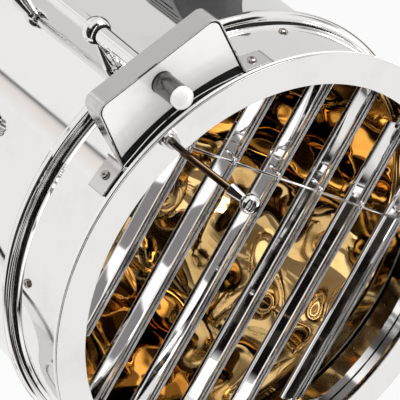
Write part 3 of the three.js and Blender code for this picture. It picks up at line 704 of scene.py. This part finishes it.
pan = pan_head()


def head_screw(name, node, angle, radius, back, twist):
    """A screw on the drum's side, pointing at its axis; the angle is from the top, towards +X."""
    outward = HEAD_LEVEL @ turn(angle, "Y")
    spot = outward @ Matrix.Translation((0, back * MM, radius * MM))
    piece(name, pan, nickel, "head", [node], matrix=spot @ turn(twist, "Z"))


for i, angle in enumerate((-18.2, -115, 154, 62)):
    head_screw(f"collar_pan_screw_{i + 1}", f"collar_screw_{i + 1}", angle, 217.1, 73.5, 25 + 31 * i)

# The trunnions: a turned boss on each side of the drum, with the shaft that tilts in the yoke's eye.
# A fluted clamp knob on each threaded end holds the tilt.
boss_outline = [
    (0, 213.3), (16.4, 213.3), (17, 214.2), (15.4, 220), (14.6, 221), (9, 221), (9, 230), (6, 230), (6, 238),
    (0, 238),
]
knob_outline = [
    (0, 9), (6.5, 9), (6.5, 0), (7.8, 0), (12, 1.6), (13, 3.2), (13, 11), (11.8, 13.6), (9, 15), (0, 15),
]
for side, name, clamp in ((-1, "left", "left_clamp"), (1, "right", "right_clamp")):
    outward = PIVOT @ turn(side * 90, "Y")
    turning(f"trunnion_turning_{name}", boss_outline, "head", [f"trunnion_{name}"], 0.7, matrix=outward)
    seat = outward @ Matrix.Translation((0, 0, 230.3 * MM))
    mesh = turned(f"tilt_grip_{name}", knob_outline, 1, 192, flute=fluted(8, 0.1))
    piece(f"tilt_grip_{name}", mesh, nickel, clamp, [f"tilt_knob_{name}"], matrix=seat)

# The reflector: a deep spun bowl behind the louvres, gold-tinted and polished, with soft planishing dents.
# The bulb stands in its neck on a porcelain holder.
gold = polished("gold_reflector", (0.93, 0.62, 0.26), (0.82, 0.5, 0.17), clean=0.02, haze=0.04, patch=26,
                dent=0, waves=(13, 0.0045))
MOUTH = 209
NECK = 34
BOWL_FRONT = 76
BOWL_BACK = 300
BOWL = MOUTH**2 / (BOWL_BACK - BOWL_FRONT)
bowl_radii = [MOUTH + (NECK - MOUTH) * i / 40 for i in range(41)]
bowl_inside = [(r, BOWL_BACK - r * r / BOWL) for r in bowl_radii]
bowl_outline = bowl_inside + [(r, h + 2) for r, h in bowl_inside[::-1]]
round_head_piece("reflector_bowl", bowl_outline, ["reflector"], 0, True, gold)

porcelain, tree, glaze = surface("glazed_porcelain")
glaze.inputs["Coat Weight"].default_value = 0.6
clay = noise(tree, 40, 4)
join(
    tree,
    (blended(tree, clay, (0.87, 0.85, 0.8, 1), (0.8, 0.78, 0.72, 1)), glaze.inputs["Base Color"]),
    (clay, glaze.inputs["Roughness"]),
)
holder_outline = [(0, 262), (20, 262), (20, 296), (24, 296), (24, 308), (12, 318), (0, 318)]
round_head_piece("lamp_holder_porcelain", holder_outline, ["lamp_holder"], 1.2, False, porcelain, 96)
satin = polished("bright_aluminium", (0.86, 0.86, 0.85), (0.76, 0.76, 0.75), clean=0.07, haze=0.08, patch=9)
disc_outline = [(24.3, 303), (70, 303), (70, 306), (24.3, 306)]
round_head_piece("holder_plate_disc", disc_outline, ["holder_plate"], 0.5, True, satin, 128)

# The bulb: a clear round envelope with a threaded brass cap, and its filament on two fine wires.
# It faces forward, out of the bowl's neck.
glass, tree, clear = surface("bulb_clear_glass")
clear.inputs["Transmission Weight"].default_value = 1
clear.inputs["Metallic"].default_value = 0
clear.inputs["IOR"].default_value = 1.45
film = noise(tree, 30, 3)
join(
    tree,
    (fill(tree, add(tree, "ShaderNodeMapRange"), (film, 0, 1, 0, 0.06)), clear.inputs["Roughness"]),
    (blended(tree, film, (1, 0.99, 0.96, 1), (0.97, 0.94, 0.88, 1)), clear.inputs["Base Color"]),
)
globe = bend((0, 200), 38, -90, 50, 40)
globe[0] = (0, 162)
envelope = globe + [(19, 236), (15.5, 242), (13.4, 247), (12.5, 248)]
inner = [(max(r - 0.7, 0) if h > 165 else r, h + (0.7 if h < 165 else 0)) for r, h in envelope[::-1]]
round_head_piece("bulb_envelope", envelope + inner, ["bulb_glass"], 0, False, glass, 128)
brass = polished("cap_brass", (0.74, 0.55, 0.25), (0.6, 0.42, 0.18), clean=0.16, haze=0.2, patch=40)
threads = [(12.2 + 0.8 * (i % 2), 248.9 + 0.95 * i) for i in range(13)]
cap_profile = [(0, 248.3), (11.5, 248.3)] + threads + [(9, 261.2), (0, 261.6)]
round_head_piece("bulb_screw_cap", cap_profile, ["bulb_cap"], 0.3, False, brass, 96)


def wire(name, points, radius, material, body, nodes=(), matrix=HEAD_LEVEL, sides=6):
    """A round wire through points in millimetres."""
    spots = [Vector(p) for p in points]
    vertices = []
    side = None
    for i, spot in enumerate(spots):
        heading = (spots[min(i + 1, len(spots) - 1)] - spots[max(i - 1, 0)]).normalized()
        if side is None:
            side = heading.orthogonal().normalized()
        side = (side - heading * side.dot(heading)).normalized()
        other = heading.cross(side)
        for k in range(sides):
            angle = 2 * math.pi * k / sides
            vertices.append(spot + (side * math.cos(angle) + other * math.sin(angle)) * radius)
    mesh = clean_mesh(name, vertices, tube_faces(len(spots), sides))
    return piece(name, mesh, material, body, nodes, matrix)


coil = []
for t in range(-10, 51):
    angle = t / 40 * math.pi
    coil.append((14 * math.cos(angle), 205 - 3 * math.sin(t * math.pi / 2), 14 * math.sin(angle)))
support = [(-3, 248, 0), (-3, 225, 0), (-9.9, 207, -9.9)]
support_right = [(3, 248, 0), (3, 225, 0), (-9.9, 207, -9.9)]
wire("bulb_filament", coil, 0.35, brass, "head")
wire("bulb_wire_left", support, 0.4, brass, "head")
wire("bulb_wire_right", support_right, 0.4, brass, "head")

# The shutter frame: a plain ring inside the collar, bored for the blades' pins.
# It is the same aluminium as the blades.
frame_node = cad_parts["shutter_frame"]
frame_node.data.materials.clear()
frame_node.data.materials.append(satin)

# The louvres: six upright blades of polished aluminium strip on pins, with a bead up their back edge.
# Each has a crank tab over the tie rod, with a pin down through the rod's eye.
BLADE_PITCH = 59
BLADE_DEEP = 38
BLADE_WIDE = 35.5
BLADE_THICK = 4.8
BLADE_REST = 73
BLADE_CIRCLE = 203
PIN_CIRCLE = 204
CRANK_LEAD = 38
CRANK_ARM = 34
BLADE_TURN = turn(-BLADE_REST, "Z")
CAMBER = 0.0042
TIE_HIGH = 92
TAB_LOW = TIE_HIGH + 2.5
CRANK = (CRANK_ARM * math.sin(math.radians(CRANK_LEAD)), -CRANK_ARM * math.cos(math.radians(CRANK_LEAD)))


def blade_mesh(name, x):
    """One blade with its bead, pins, tab and crank pin, round its own axis and with its front edge to -Y."""
    length = math.sqrt(BLADE_CIRCLE**2 - (abs(x) + BLADE_WIDE / 2) ** 2) - 1
    pin = math.sqrt(PIN_CIRCLE**2 - x * x) + 6
    half, edge = BLADE_WIDE / 2, BLADE_THICK / 2
    camber = [(edge - CAMBER * (half * k / 8) ** 2, half * k / 8) for k in range(9)]
    rim = rounded([(-edge, -half), (edge, -half)] + camber + [(-edge, half)], 1.1, True)
    # One loop near each end keeps the long faces flat.
    levels = [-length, -length + 0.4, length - 0.4, length]
    vertices = [(spot.x, spot.y, z) for z in levels for spot in rim]
    faces = tube_faces(len(levels), len(rim))

    def round_bar(cx, cy, profile, sides=16):
        """A round upright bar from a profile of (radius, height)."""
        start = len(vertices)
        for radius, z in profile:
            for k in range(sides):
                angle = 2 * math.pi * k / sides
                vertices.append((cx + radius * math.cos(angle), cy + radius * math.sin(angle), z))
        faces.extend(tube_faces(len(profile), sides, start))

    tip = length - 4
    bead = [(0.5, -tip), (1.1, 0.35 - tip), (1.4, 1 - tip), (1.4, tip - 1), (1.1, tip - 0.35), (0.5, tip)]
    round_bar(edge + 0.4, half - 1.6, bead)
    round_bar(0, 0, [(3, length - 1), (3, pin)])
    round_bar(0, 0, [(3, -pin), (3, 1 - length)])
    round_bar(*CRANK, [(1.3, TIE_HIGH - 2.5), (1.3, TAB_LOW + 1)])
    root, tip = Vector((0, 9 - half)), Vector(CRANK)
    across = Vector((root.y - tip.y, tip.x - root.x)).normalized() * 3
    start = len(vertices)
    for z in (TAB_LOW, TAB_LOW + 1.6):
        for spot in (root + across, root - across, tip - across, tip + across):
            vertices.append((spot.x, spot.y, z))
    faces.extend(tube_faces(2, 4, start))
    mesh = clean_mesh(name, vertices, faces)
    mesh.materials.append(strip_metal)
    mesh.materials.append(edge_highlight_metal)
    # The front corner faces take the painted highlight.
    for face in mesh.polygons:
        normal, spot = face.normal, face.center / MM
        at_corner = 0.15 < abs(normal.x) < 0.98 and abs(normal.z) < 0.1
        if at_corner and spot.y < 2 - half and abs(spot.x) < edge + 0.1:
            face.material_index = 1
    return mesh


strip_metal = polished("louvre_aluminium", (0.9, 0.89, 0.89), (0.8, 0.79, 0.79), clean=0.02, haze=0.04,
                       patch=18, dent=0, waves=(9, 0.0008))
# The blades' front corners get a paler, half-metal finish that the white room lights evenly: a painted
# highlight along each front edge.
edge_highlight_metal = polished("aluminium_edge_painted_highlight", (0.93, 0.93, 0.93), (0.88, 0.88, 0.88), clean=0.2, haze=0.1)
edge_highlight_metal.node_tree.nodes["Principled BSDF"].inputs["Metallic"].default_value = 0.4
for i in range(6):
    x = (i - 2.5) * BLADE_PITCH
    place = HEAD_LEVEL @ Matrix.Translation((x * MM, BLADE_DEEP * MM, 0)) @ BLADE_TURN
    mesh = blade_mesh(f"louvre_blade_{i + 1}", x)
    piece(f"louvre_blade_{i + 1}", mesh, strip_metal, f"louvre_{i + 1}", [f"blade_{i + 1}"],
          place)

# The tie rod and lever: a wire with an eye for each crank pin, and a slanting rod with a ferrule and a ball.
# A socket screw in the ball's face fixes it to the rod.
CRANK_TURN = math.radians(BLADE_REST - CRANK_LEAD)
TIE_BACK = BLADE_DEEP - CRANK_ARM * math.cos(CRANK_TURN)
EYES = [(i - 2.5) * BLADE_PITCH - CRANK_ARM * math.sin(CRANK_TURN) for i in range(6)]
HUB = Vector((-173.3, TIE_BACK, 86.6))
BALL = Vector((-141.4, -65, 80.2))
tie_points = [(-173.3, TIE_BACK, TIE_HIGH), (EYES[-1] + 2, TIE_BACK, TIE_HIGH)]
wire("tie_wire", tie_points, 1.25, nickel, "shutter_lever", ["tie_rod"], sides=16)
eye = [(1.8, -1.6), (3, -1.6), (3, 1.6), (1.8, 1.6)]
for i, x in enumerate(EYES):
    place = HEAD_LEVEL @ Matrix.Translation((x * MM, TIE_BACK * MM, TIE_HIGH * MM))
    turning(f"tie_eye_{i + 1}", eye, "shutter_lever", (), 0.4, 32, True, place)
lever_line = BALL - HUB
reach = lever_line.length
LEVER = HEAD_LEVEL @ Matrix.Translation(HUB * MM) @ lever_line.to_track_quat("Z", "Y").to_matrix().to_4x4()
# The lever's nickel is painted dark amber: a painted reflection of the dark, gold-lit inside of the drum.
amber_reflection_nickel = polished("nickel_painted_amber_reflection", (0.2, 0.125, 0.07), (0.06, 0.04, 0.028), clean=0.05, haze=0.08, patch=40)
shaft_outline = [(0, -1), (3.5, -1), (3.5, reach - 23.3), (0, reach - 23.3)]
shaft_mesh = turned("lever_shaft", shaft_outline, 0.4, 48)
piece("lever_shaft", shaft_mesh, amber_reflection_nickel, "shutter_lever", ["lever_rod"], matrix=LEVER)
hub_mesh = turned("lever_hub", [(0, -4), (3, -4), (3, 7.5), (0, 7.5)], 0.6, 48)
piece("lever_hub", hub_mesh, amber_reflection_nickel, "shutter_lever", matrix=HEAD_LEVEL @ Matrix.Translation(HUB * MM))
ball_arc = bend((0, reach), 9.3, -64, 61, 36)
ferrule = [(0, reach - 23), (6.2, reach - 23), (4.1, reach - 8.4)]
ball_outline = ferrule + ball_arc + [(4.4, reach + 4.6), (0, reach + 4.6)]
turning("lever_ball_grip", ball_outline, "shutter_lever", ["lever_ball"], 0.3, matrix=LEVER)
socket_outline = [(0, reach + 4.8), (4.2, reach + 4.8), (4.2, reach + 8.2), (0, reach + 8.2)]
socket_mesh = turned("lever_socket_screw", socket_outline, 0.4, 48)
socket = piece("lever_socket_screw", socket_mesh, amber_reflection_nickel, "shutter_lever", ["lever_screw"], matrix=LEVER)
hexagon = [(2.2 * math.cos(math.radians(60 * k)), 2.2 * math.sin(math.radians(60 * k))) for k in range(6)]
hex_points = [(x, y, reach + z) for z in (6, 12) for x, y in hexagon]
hex_mesh = clean_mesh("hexagon", hex_points, tube_faces(2, 6))
# The hex socket takes the black: painted shade in the recess.
hex_mesh.materials.append(rubber)
drilled(socket, [cutter(hex_mesh, LEVER)])

# The sight: a bent strip bracket on two feet, closed by a front plate with rounded corners. Black sheets
# inside it and behind the plate are painted shade in its hollow, and black pads under the feet are painted
# shadow.
# Pan-head screws hold its feet to the collar.
SIGHT_ANGLE = 57.7
SIGHT = HEAD_LEVEL @ turn(-SIGHT_ANGLE, "Y")
STRIP_FRONT = 21
STRIP_DEEP = 23
LEG_HIGH = 265
LEG_LOW = 211.4
FOOT_R = 219.6


def on_ring(angle, radius):
    return (radius * math.sin(math.radians(angle)), radius * math.cos(math.radians(angle)))


def leg_back(z):
    """How far back the bracket reaches at a height: its legs narrow towards the feet."""
    share = min(max((z - LEG_LOW) / (LEG_HIGH - LEG_LOW), 0), 1)
    return 25 + 19 * share if z > LEG_LOW - 0.2 else STRIP_FRONT + STRIP_DEEP


def narrowed(mesh):
    """Draws in the back edge of the legs."""
    for vertex in mesh.vertices:
        share = (leg_back(vertex.co.z / MM) - STRIP_FRONT) / STRIP_DEEP
        vertex.co.y = (STRIP_FRONT + (vertex.co.y / MM - STRIP_FRONT) * share) * MM
    return mesh


leg_half = [(0, 282.25), (40, 282.25), (57.9, 282.25)] + bend((58, 272.25), 10, 89, 6, 12) + [
    (67.95, 273.0), (68.21, LEG_HIGH), (69.92, LEG_LOW),
]
foot_half = [(69.96, 210.9), (70.2, 209.2), (71.2, 208), (73, 207.1), (75.4, 206.3)] + [
    on_ring(angle, FOOT_R) for angle in (21.5, 23.5, 25.5, 26.7)
]
strip_half = leg_half + foot_half
strip_path = [(-x, z) for x, z in strip_half[:0:-1]] + strip_half
strip_section = [(-0.75, 21), (0.75, 21), (0.75, 44), (-0.75, 44)]
brushed = polished("brushed_nickel", (0.7, 0.68, 0.67), (0.58, 0.555, 0.54), clean=0.14, haze=0.12, patch=30)
strip_mesh = narrowed(swept("sight_strip", strip_path, strip_section, 0.3))
piece("sight_strip", strip_mesh, brushed, "head", ["sight_bracket"], matrix=SIGHT)
# A black coat inside the strip: painted shade in the bracket's hollow.
shade_lining_path = [(-x, z) for x, z in leg_half[:0:-1]] + leg_half
shade_lining_section = [(-1.4, 24.4), (-0.85, 24.4), (-0.85, 43.4), (-1.4, 43.4)]
shade_lining_mesh = narrowed(swept("sight_strip_shade_lining", shade_lining_path, shade_lining_section, 0.1))
piece("sight_strip_shade_lining", shade_lining_mesh, rubber, "head", matrix=SIGHT)
# Black pads under the feet: painted shadow in the gap under each foot.
shadow_pad_section = [(-0.7, 21.4), (0.7, 21.4), (0.7, 43.6), (-0.7, 43.6)]
for side, name in ((-1, "left"), (1, "right")):
    shadow_pad_path = [on_ring(side * (20.3 + 6.2 * i / 6), 217.9) for i in range(7)]
    pad = swept(f"sight_foot_shadow_pad_{name}", shadow_pad_path, shadow_pad_section, 0.2)
    piece(f"sight_foot_shadow_pad_{name}", pad, rubber, "head", matrix=SIGHT)
    head_screw(f"bracket_pan_screw_{name}", f"bracket_screw_{name}", side * 22.5 - SIGHT_ANGLE, 220.35, 32.5,
               10)


def slab(name, outline, front, back, radius=0.3):
    """A flat plate with softened edges, from an outline of (x, z), between two depths."""
    points = [Vector(p) for p in outline]
    centre = sum(points, Vector((0, 0))) / len(points)
    count = len(points)
    rings = []
    for inset, depth in ((radius, front), (0.3 * radius, front + 0.3 * radius), (0, front + radius),
                         (0, back - radius), (0.3 * radius, back - 0.3 * radius), (radius, back)):
        ring = []
        for i, point in enumerate(points):
            along = (points[(i + 1) % count] - points[i - 1]).normalized()
            inward = Vector((-along.y, along.x))
            if inward.dot(centre - point) < 0:
                inward = -inward
            spot = point + inward * inset
            ring.append((spot.x, depth, spot.y))
        rings.append(ring)
    vertices = [v for ring in rings for v in ring]
    mesh = clean_mesh(name, vertices, tube_faces(len(rings), count))
    for face in mesh.polygons:
        if len(face.vertices) > 4:
            face.use_smooth = False
    return mesh


def plate_outline(half, top, corner, spread):
    """A plate with two rounded upper corners, sides that spread, and a foot that follows the bezel."""
    right = bend((half - corner, top - corner), corner, 90, 0, 12)
    foot = [on_ring(spread - 2 * spread * i / 24, 229) for i in range(25)]
    return [(-x, z) for x, z in right[::-1]] + right + foot


milky = polished("milky_nickel", (0.93, 0.92, 0.91), (0.88, 0.87, 0.86), clean=0.2, haze=0.1)
milky.node_tree.nodes["Principled BSDF"].inputs["Metallic"].default_value = 0.16
plate_mesh = slab("sight_front_plate", plate_outline(66, 280, 9.4, 17.1), 21.5, 22.5)
piece("sight_front_plate", plate_mesh, milky, "head", ["sight_plate"], matrix=SIGHT)
# A black sheet behind the plate: painted shade in the bracket's hollow.
shade_liner_mesh = slab("sight_plate_shade_liner", plate_outline(67.1, 281.3, 9.8, 17.4), 22.7, 24.1)
piece("sight_plate_shade_liner", shade_liner_mesh, rubber, "head", matrix=SIGHT)


def painted_shade_sheet():
    """The black sheet across the bracket's back, from the top strip down to the collar: painted shade in the
    bracket's hollow.
    """
    columns, rows = 24, 16
    sheet = []
    for j in range(rows + 1):
        row = []
        for i in range(columns + 1):
            across = 2 * i / columns - 1
            low = math.sqrt(217.7**2 - (across * 68) ** 2)
            z = low + (280.4 - low) * j / rows
            half = 66.4 + 1.8 * min((LEG_HIGH - z) / (LEG_HIGH - LEG_LOW), 1)
            if z > 271:
                half = 56 + math.sqrt(max(10.4**2 - (z - 271) ** 2, 0))
            wide = min(half, 66.4) if z > LEG_HIGH else half
            row.append((across * wide, leg_back(max(z, LEG_LOW)) - 0.9, z))
        sheet.append(row)
    flat = [spot for row in sheet for spot in row]
    vertices = flat + [(x, y + 0.5, z) for x, y, z in flat]
    width, count = columns + 1, len(flat)
    faces = []
    for j in range(rows):
        for i in range(columns):
            quad = (j * width + i, j * width + i + 1, (j + 1) * width + i + 1, (j + 1) * width + i)
            faces += [quad, tuple(count + k for k in quad[::-1])]
    border = (
        [i for i in range(columns)]
        + [j * width + columns for j in range(rows)]
        + [rows * width + i for i in range(columns, 0, -1)]
        + [j * width for j in range(rows, 0, -1)]
    )
    for k, start in enumerate(border):
        end = border[(k + 1) % len(border)]
        faces.append((start, end, count + end, count + start))
    return clean_mesh("sight_painted_shade_sheet", vertices, faces)


piece("sight_painted_shade_sheet", painted_shade_sheet(), rubber, "head", matrix=SIGHT)

# The sight rail: a tapering tube over the drum on two ball-topped posts, and a knurled knob with a polished
# cap on the front plate. All of it is turned brass, plated. The knob's grip is painted dark, a painted
# reflection of the dark room, and black rings are painted shade where the pieces meet.
RAIL_HIGH = 261
RAIL_ANGLE = 58.6
RAIL = HEAD_LEVEL @ turn(-RAIL_ANGLE, "Y")
RAIL_LINE = RAIL @ Matrix.Translation((0, 0, RAIL_HIGH * MM)) @ ALONG_Y
# The grip's steel is painted dark: a painted reflection of the dark side of the room.
grip_painted_dark = polished("knurled_steel", (0.2, 0.19, 0.185), (0.07, 0.065, 0.062), clean=0.16, haze=0.2, patch=120,
                   dent=0.5)
knob_grip = [(0, -6.7), (10.3, -6.7), (10.6, -6.3), (10.6, 19.1), (10.2, 19.5), (0, 19.5)]
piece("sight_knob_grip", turned("sight_knob_grip", knob_grip, 0.2, 96), grip_painted_dark, "head", ["sight_boss"],
      RAIL_LINE)
knob_cap = [
    (0, -18.5), (2.2, -18.3), (4.4, -17.7), (6.4, -16.7), (8.2, -15.3), (9.6, -13.7), (10.4, -12.4),
    (10.4, -6.9), (0, -6.9),
]
piece("sight_knob_cap", turned("sight_knob_cap", knob_cap, 0.3, 96), milky, "head", matrix=RAIL_LINE)


def shade_ring(name, inner, outer, front, back):
    """A black ring on the rail: painted shade in the gap where two pieces meet."""
    ring = turned(name, [(inner, front), (outer, front), (outer, back), (inner, back)], 0.2, 64, closed=True)
    piece(name, ring, rubber, "head", matrix=RAIL_LINE)


shade_ring("sight_knob_shade_washer", 4, 10.8, 19.7, 21.3)
shade_ring("rail_shoulder_shade_ring", 7.2, 9.7, 115.4, 118)
rail_outline = [
    (0, 23.8), (6.4, 23.8), (8.3, 114.4), (8.3, 115), (7, 115.2), (7, 327.5), (5.6, 329.4), (0, 330),
]
turning("rail_bar", rail_outline, "head", ["sight_rail"], 0.3, matrix=RAIL_LINE)
for node, back in (("rail_post_front", 125), ("rail_post_rear", 296)):
    ball = [(7.3, -6.8), (9.9, -6.8)] + bend((0, 0), 13.3, -41.9, 56.7, 32) + [(7.3, 11.1)]
    place = RAIL_LINE @ Matrix.Translation((0, 0, back * MM))
    turning(f"{node}_ball", ball, "head", (), 0.2, closed=True, matrix=place)
    leg = [(0, 213.3), (10.5, 213.3), (10.5, 217.6), (9.7, 218.6), (9.3, 219), (6.4, 250.5), (0, 250.5)]
    turning(f"{node}_leg", leg, "head", [node], 0.5, matrix=RAIL @ Matrix.Translation((0, back * MM, 0)))

# The vent hood: a bent and welded sheet box with slots in its sides, open below, in dark enamel.
# A nickel-plated flange, curved to the drum, holds it down with four screws.
HOOD_FRONT = 188
HOOD_BACK = 280
HOOD_TOP = 304
HOOD_HALF = 46
HOOD_FOOT = 216.3
HOOD_ANGLE = 18
HOOD = HEAD_LEVEL @ turn(-HOOD_ANGLE, "Y")
FLANGE_R = 214.5
flange_reach = math.degrees((HOOD_HALF + 9) / FLANGE_R)
flange_path = bend((0, 0), FLANGE_R, 90 + flange_reach, 90 - flange_reach, 24)
flange_section = [(-1, HOOD_FRONT - 9), (1, HOOD_FRONT - 9), (1, HOOD_BACK + 9), (-1, HOOD_BACK + 9)]
flange_mesh = swept("hood_flange_plate", flange_path, flange_section, 0.3)
piece("hood_flange_plate", flange_mesh, nickel, "head", ["hood_flange"], matrix=HOOD)
enamel, tree, paint = surface("dark_enamel")
paint.inputs["Coat Weight"].default_value = 0.4
cloudy = noise(tree, 18, 4)
join(
    tree,
    (blended(tree, cloudy, (0.07, 0.07, 0.075, 1), (0.1, 0.1, 0.1, 1)), paint.inputs["Base Color"]),
    (eased(tree, cloudy, 0.3, 0.7, 0.28, 0.42), paint.inputs["Roughness"]),
    (bumped(tree, noise(tree, 420, 2), 0.12, 0.0003), paint.inputs["Normal"]),
)


def hood_outline(inset, low):
    half, top, corner = HOOD_HALF - inset, HOOD_TOP - inset, 14 - inset
    right = bend((half - corner, top - corner), corner, 90, 0, 12)
    return [(-x, z) for x, z in right[::-1]] + right + [(half, low), (-half, low)]


hood_mesh = slab("vent_hood_box", hood_outline(0, HOOD_FOOT - 12), HOOD_FRONT, HOOD_BACK, 1.5)
hood = piece("vent_hood_box", hood_mesh, enamel, "head", ["vent_hood"], HOOD)
openings = [slab("hollow", hood_outline(2, HOOD_FOOT - 17), HOOD_FRONT + 2, HOOD_BACK - 2)]
for i in range(4):
    low = HOOD_FOOT + 26 + 13 * i
    slot_outline = [(-60, low), (60, low), (60, low + 4), (-60, low + 4)]
    openings.append(slab("slot", slot_outline, HOOD_FRONT + 12, HOOD_BACK - 12))
saddle_outline = [
    (0, HOOD_FRONT - 5), (HOOD_FOOT, HOOD_FRONT - 5), (HOOD_FOOT, HOOD_BACK + 5), (0, HOOD_BACK + 5),
]
saddle = cutter(turned("saddle", saddle_outline, 0), HOOD @ ALONG_Y)
drilled(hood, [cutter(mesh, HOOD) for mesh in openings] + [saddle])
for i, (side, back) in enumerate(((-1, HOOD_FRONT), (1, HOOD_FRONT), (-1, HOOD_BACK), (1, HOOD_BACK))):
    angle = side * math.degrees((HOOD_HALF + 4.5) / FLANGE_R)
    spot = HOOD @ turn(angle, "Y") @ Matrix.Translation((0, back * MM, 215.6 * MM))
    piece(f"hood_pan_screw_{i + 1}", pan, nickel, "head", matrix=spot @ Matrix.Scale(0.8, 4))
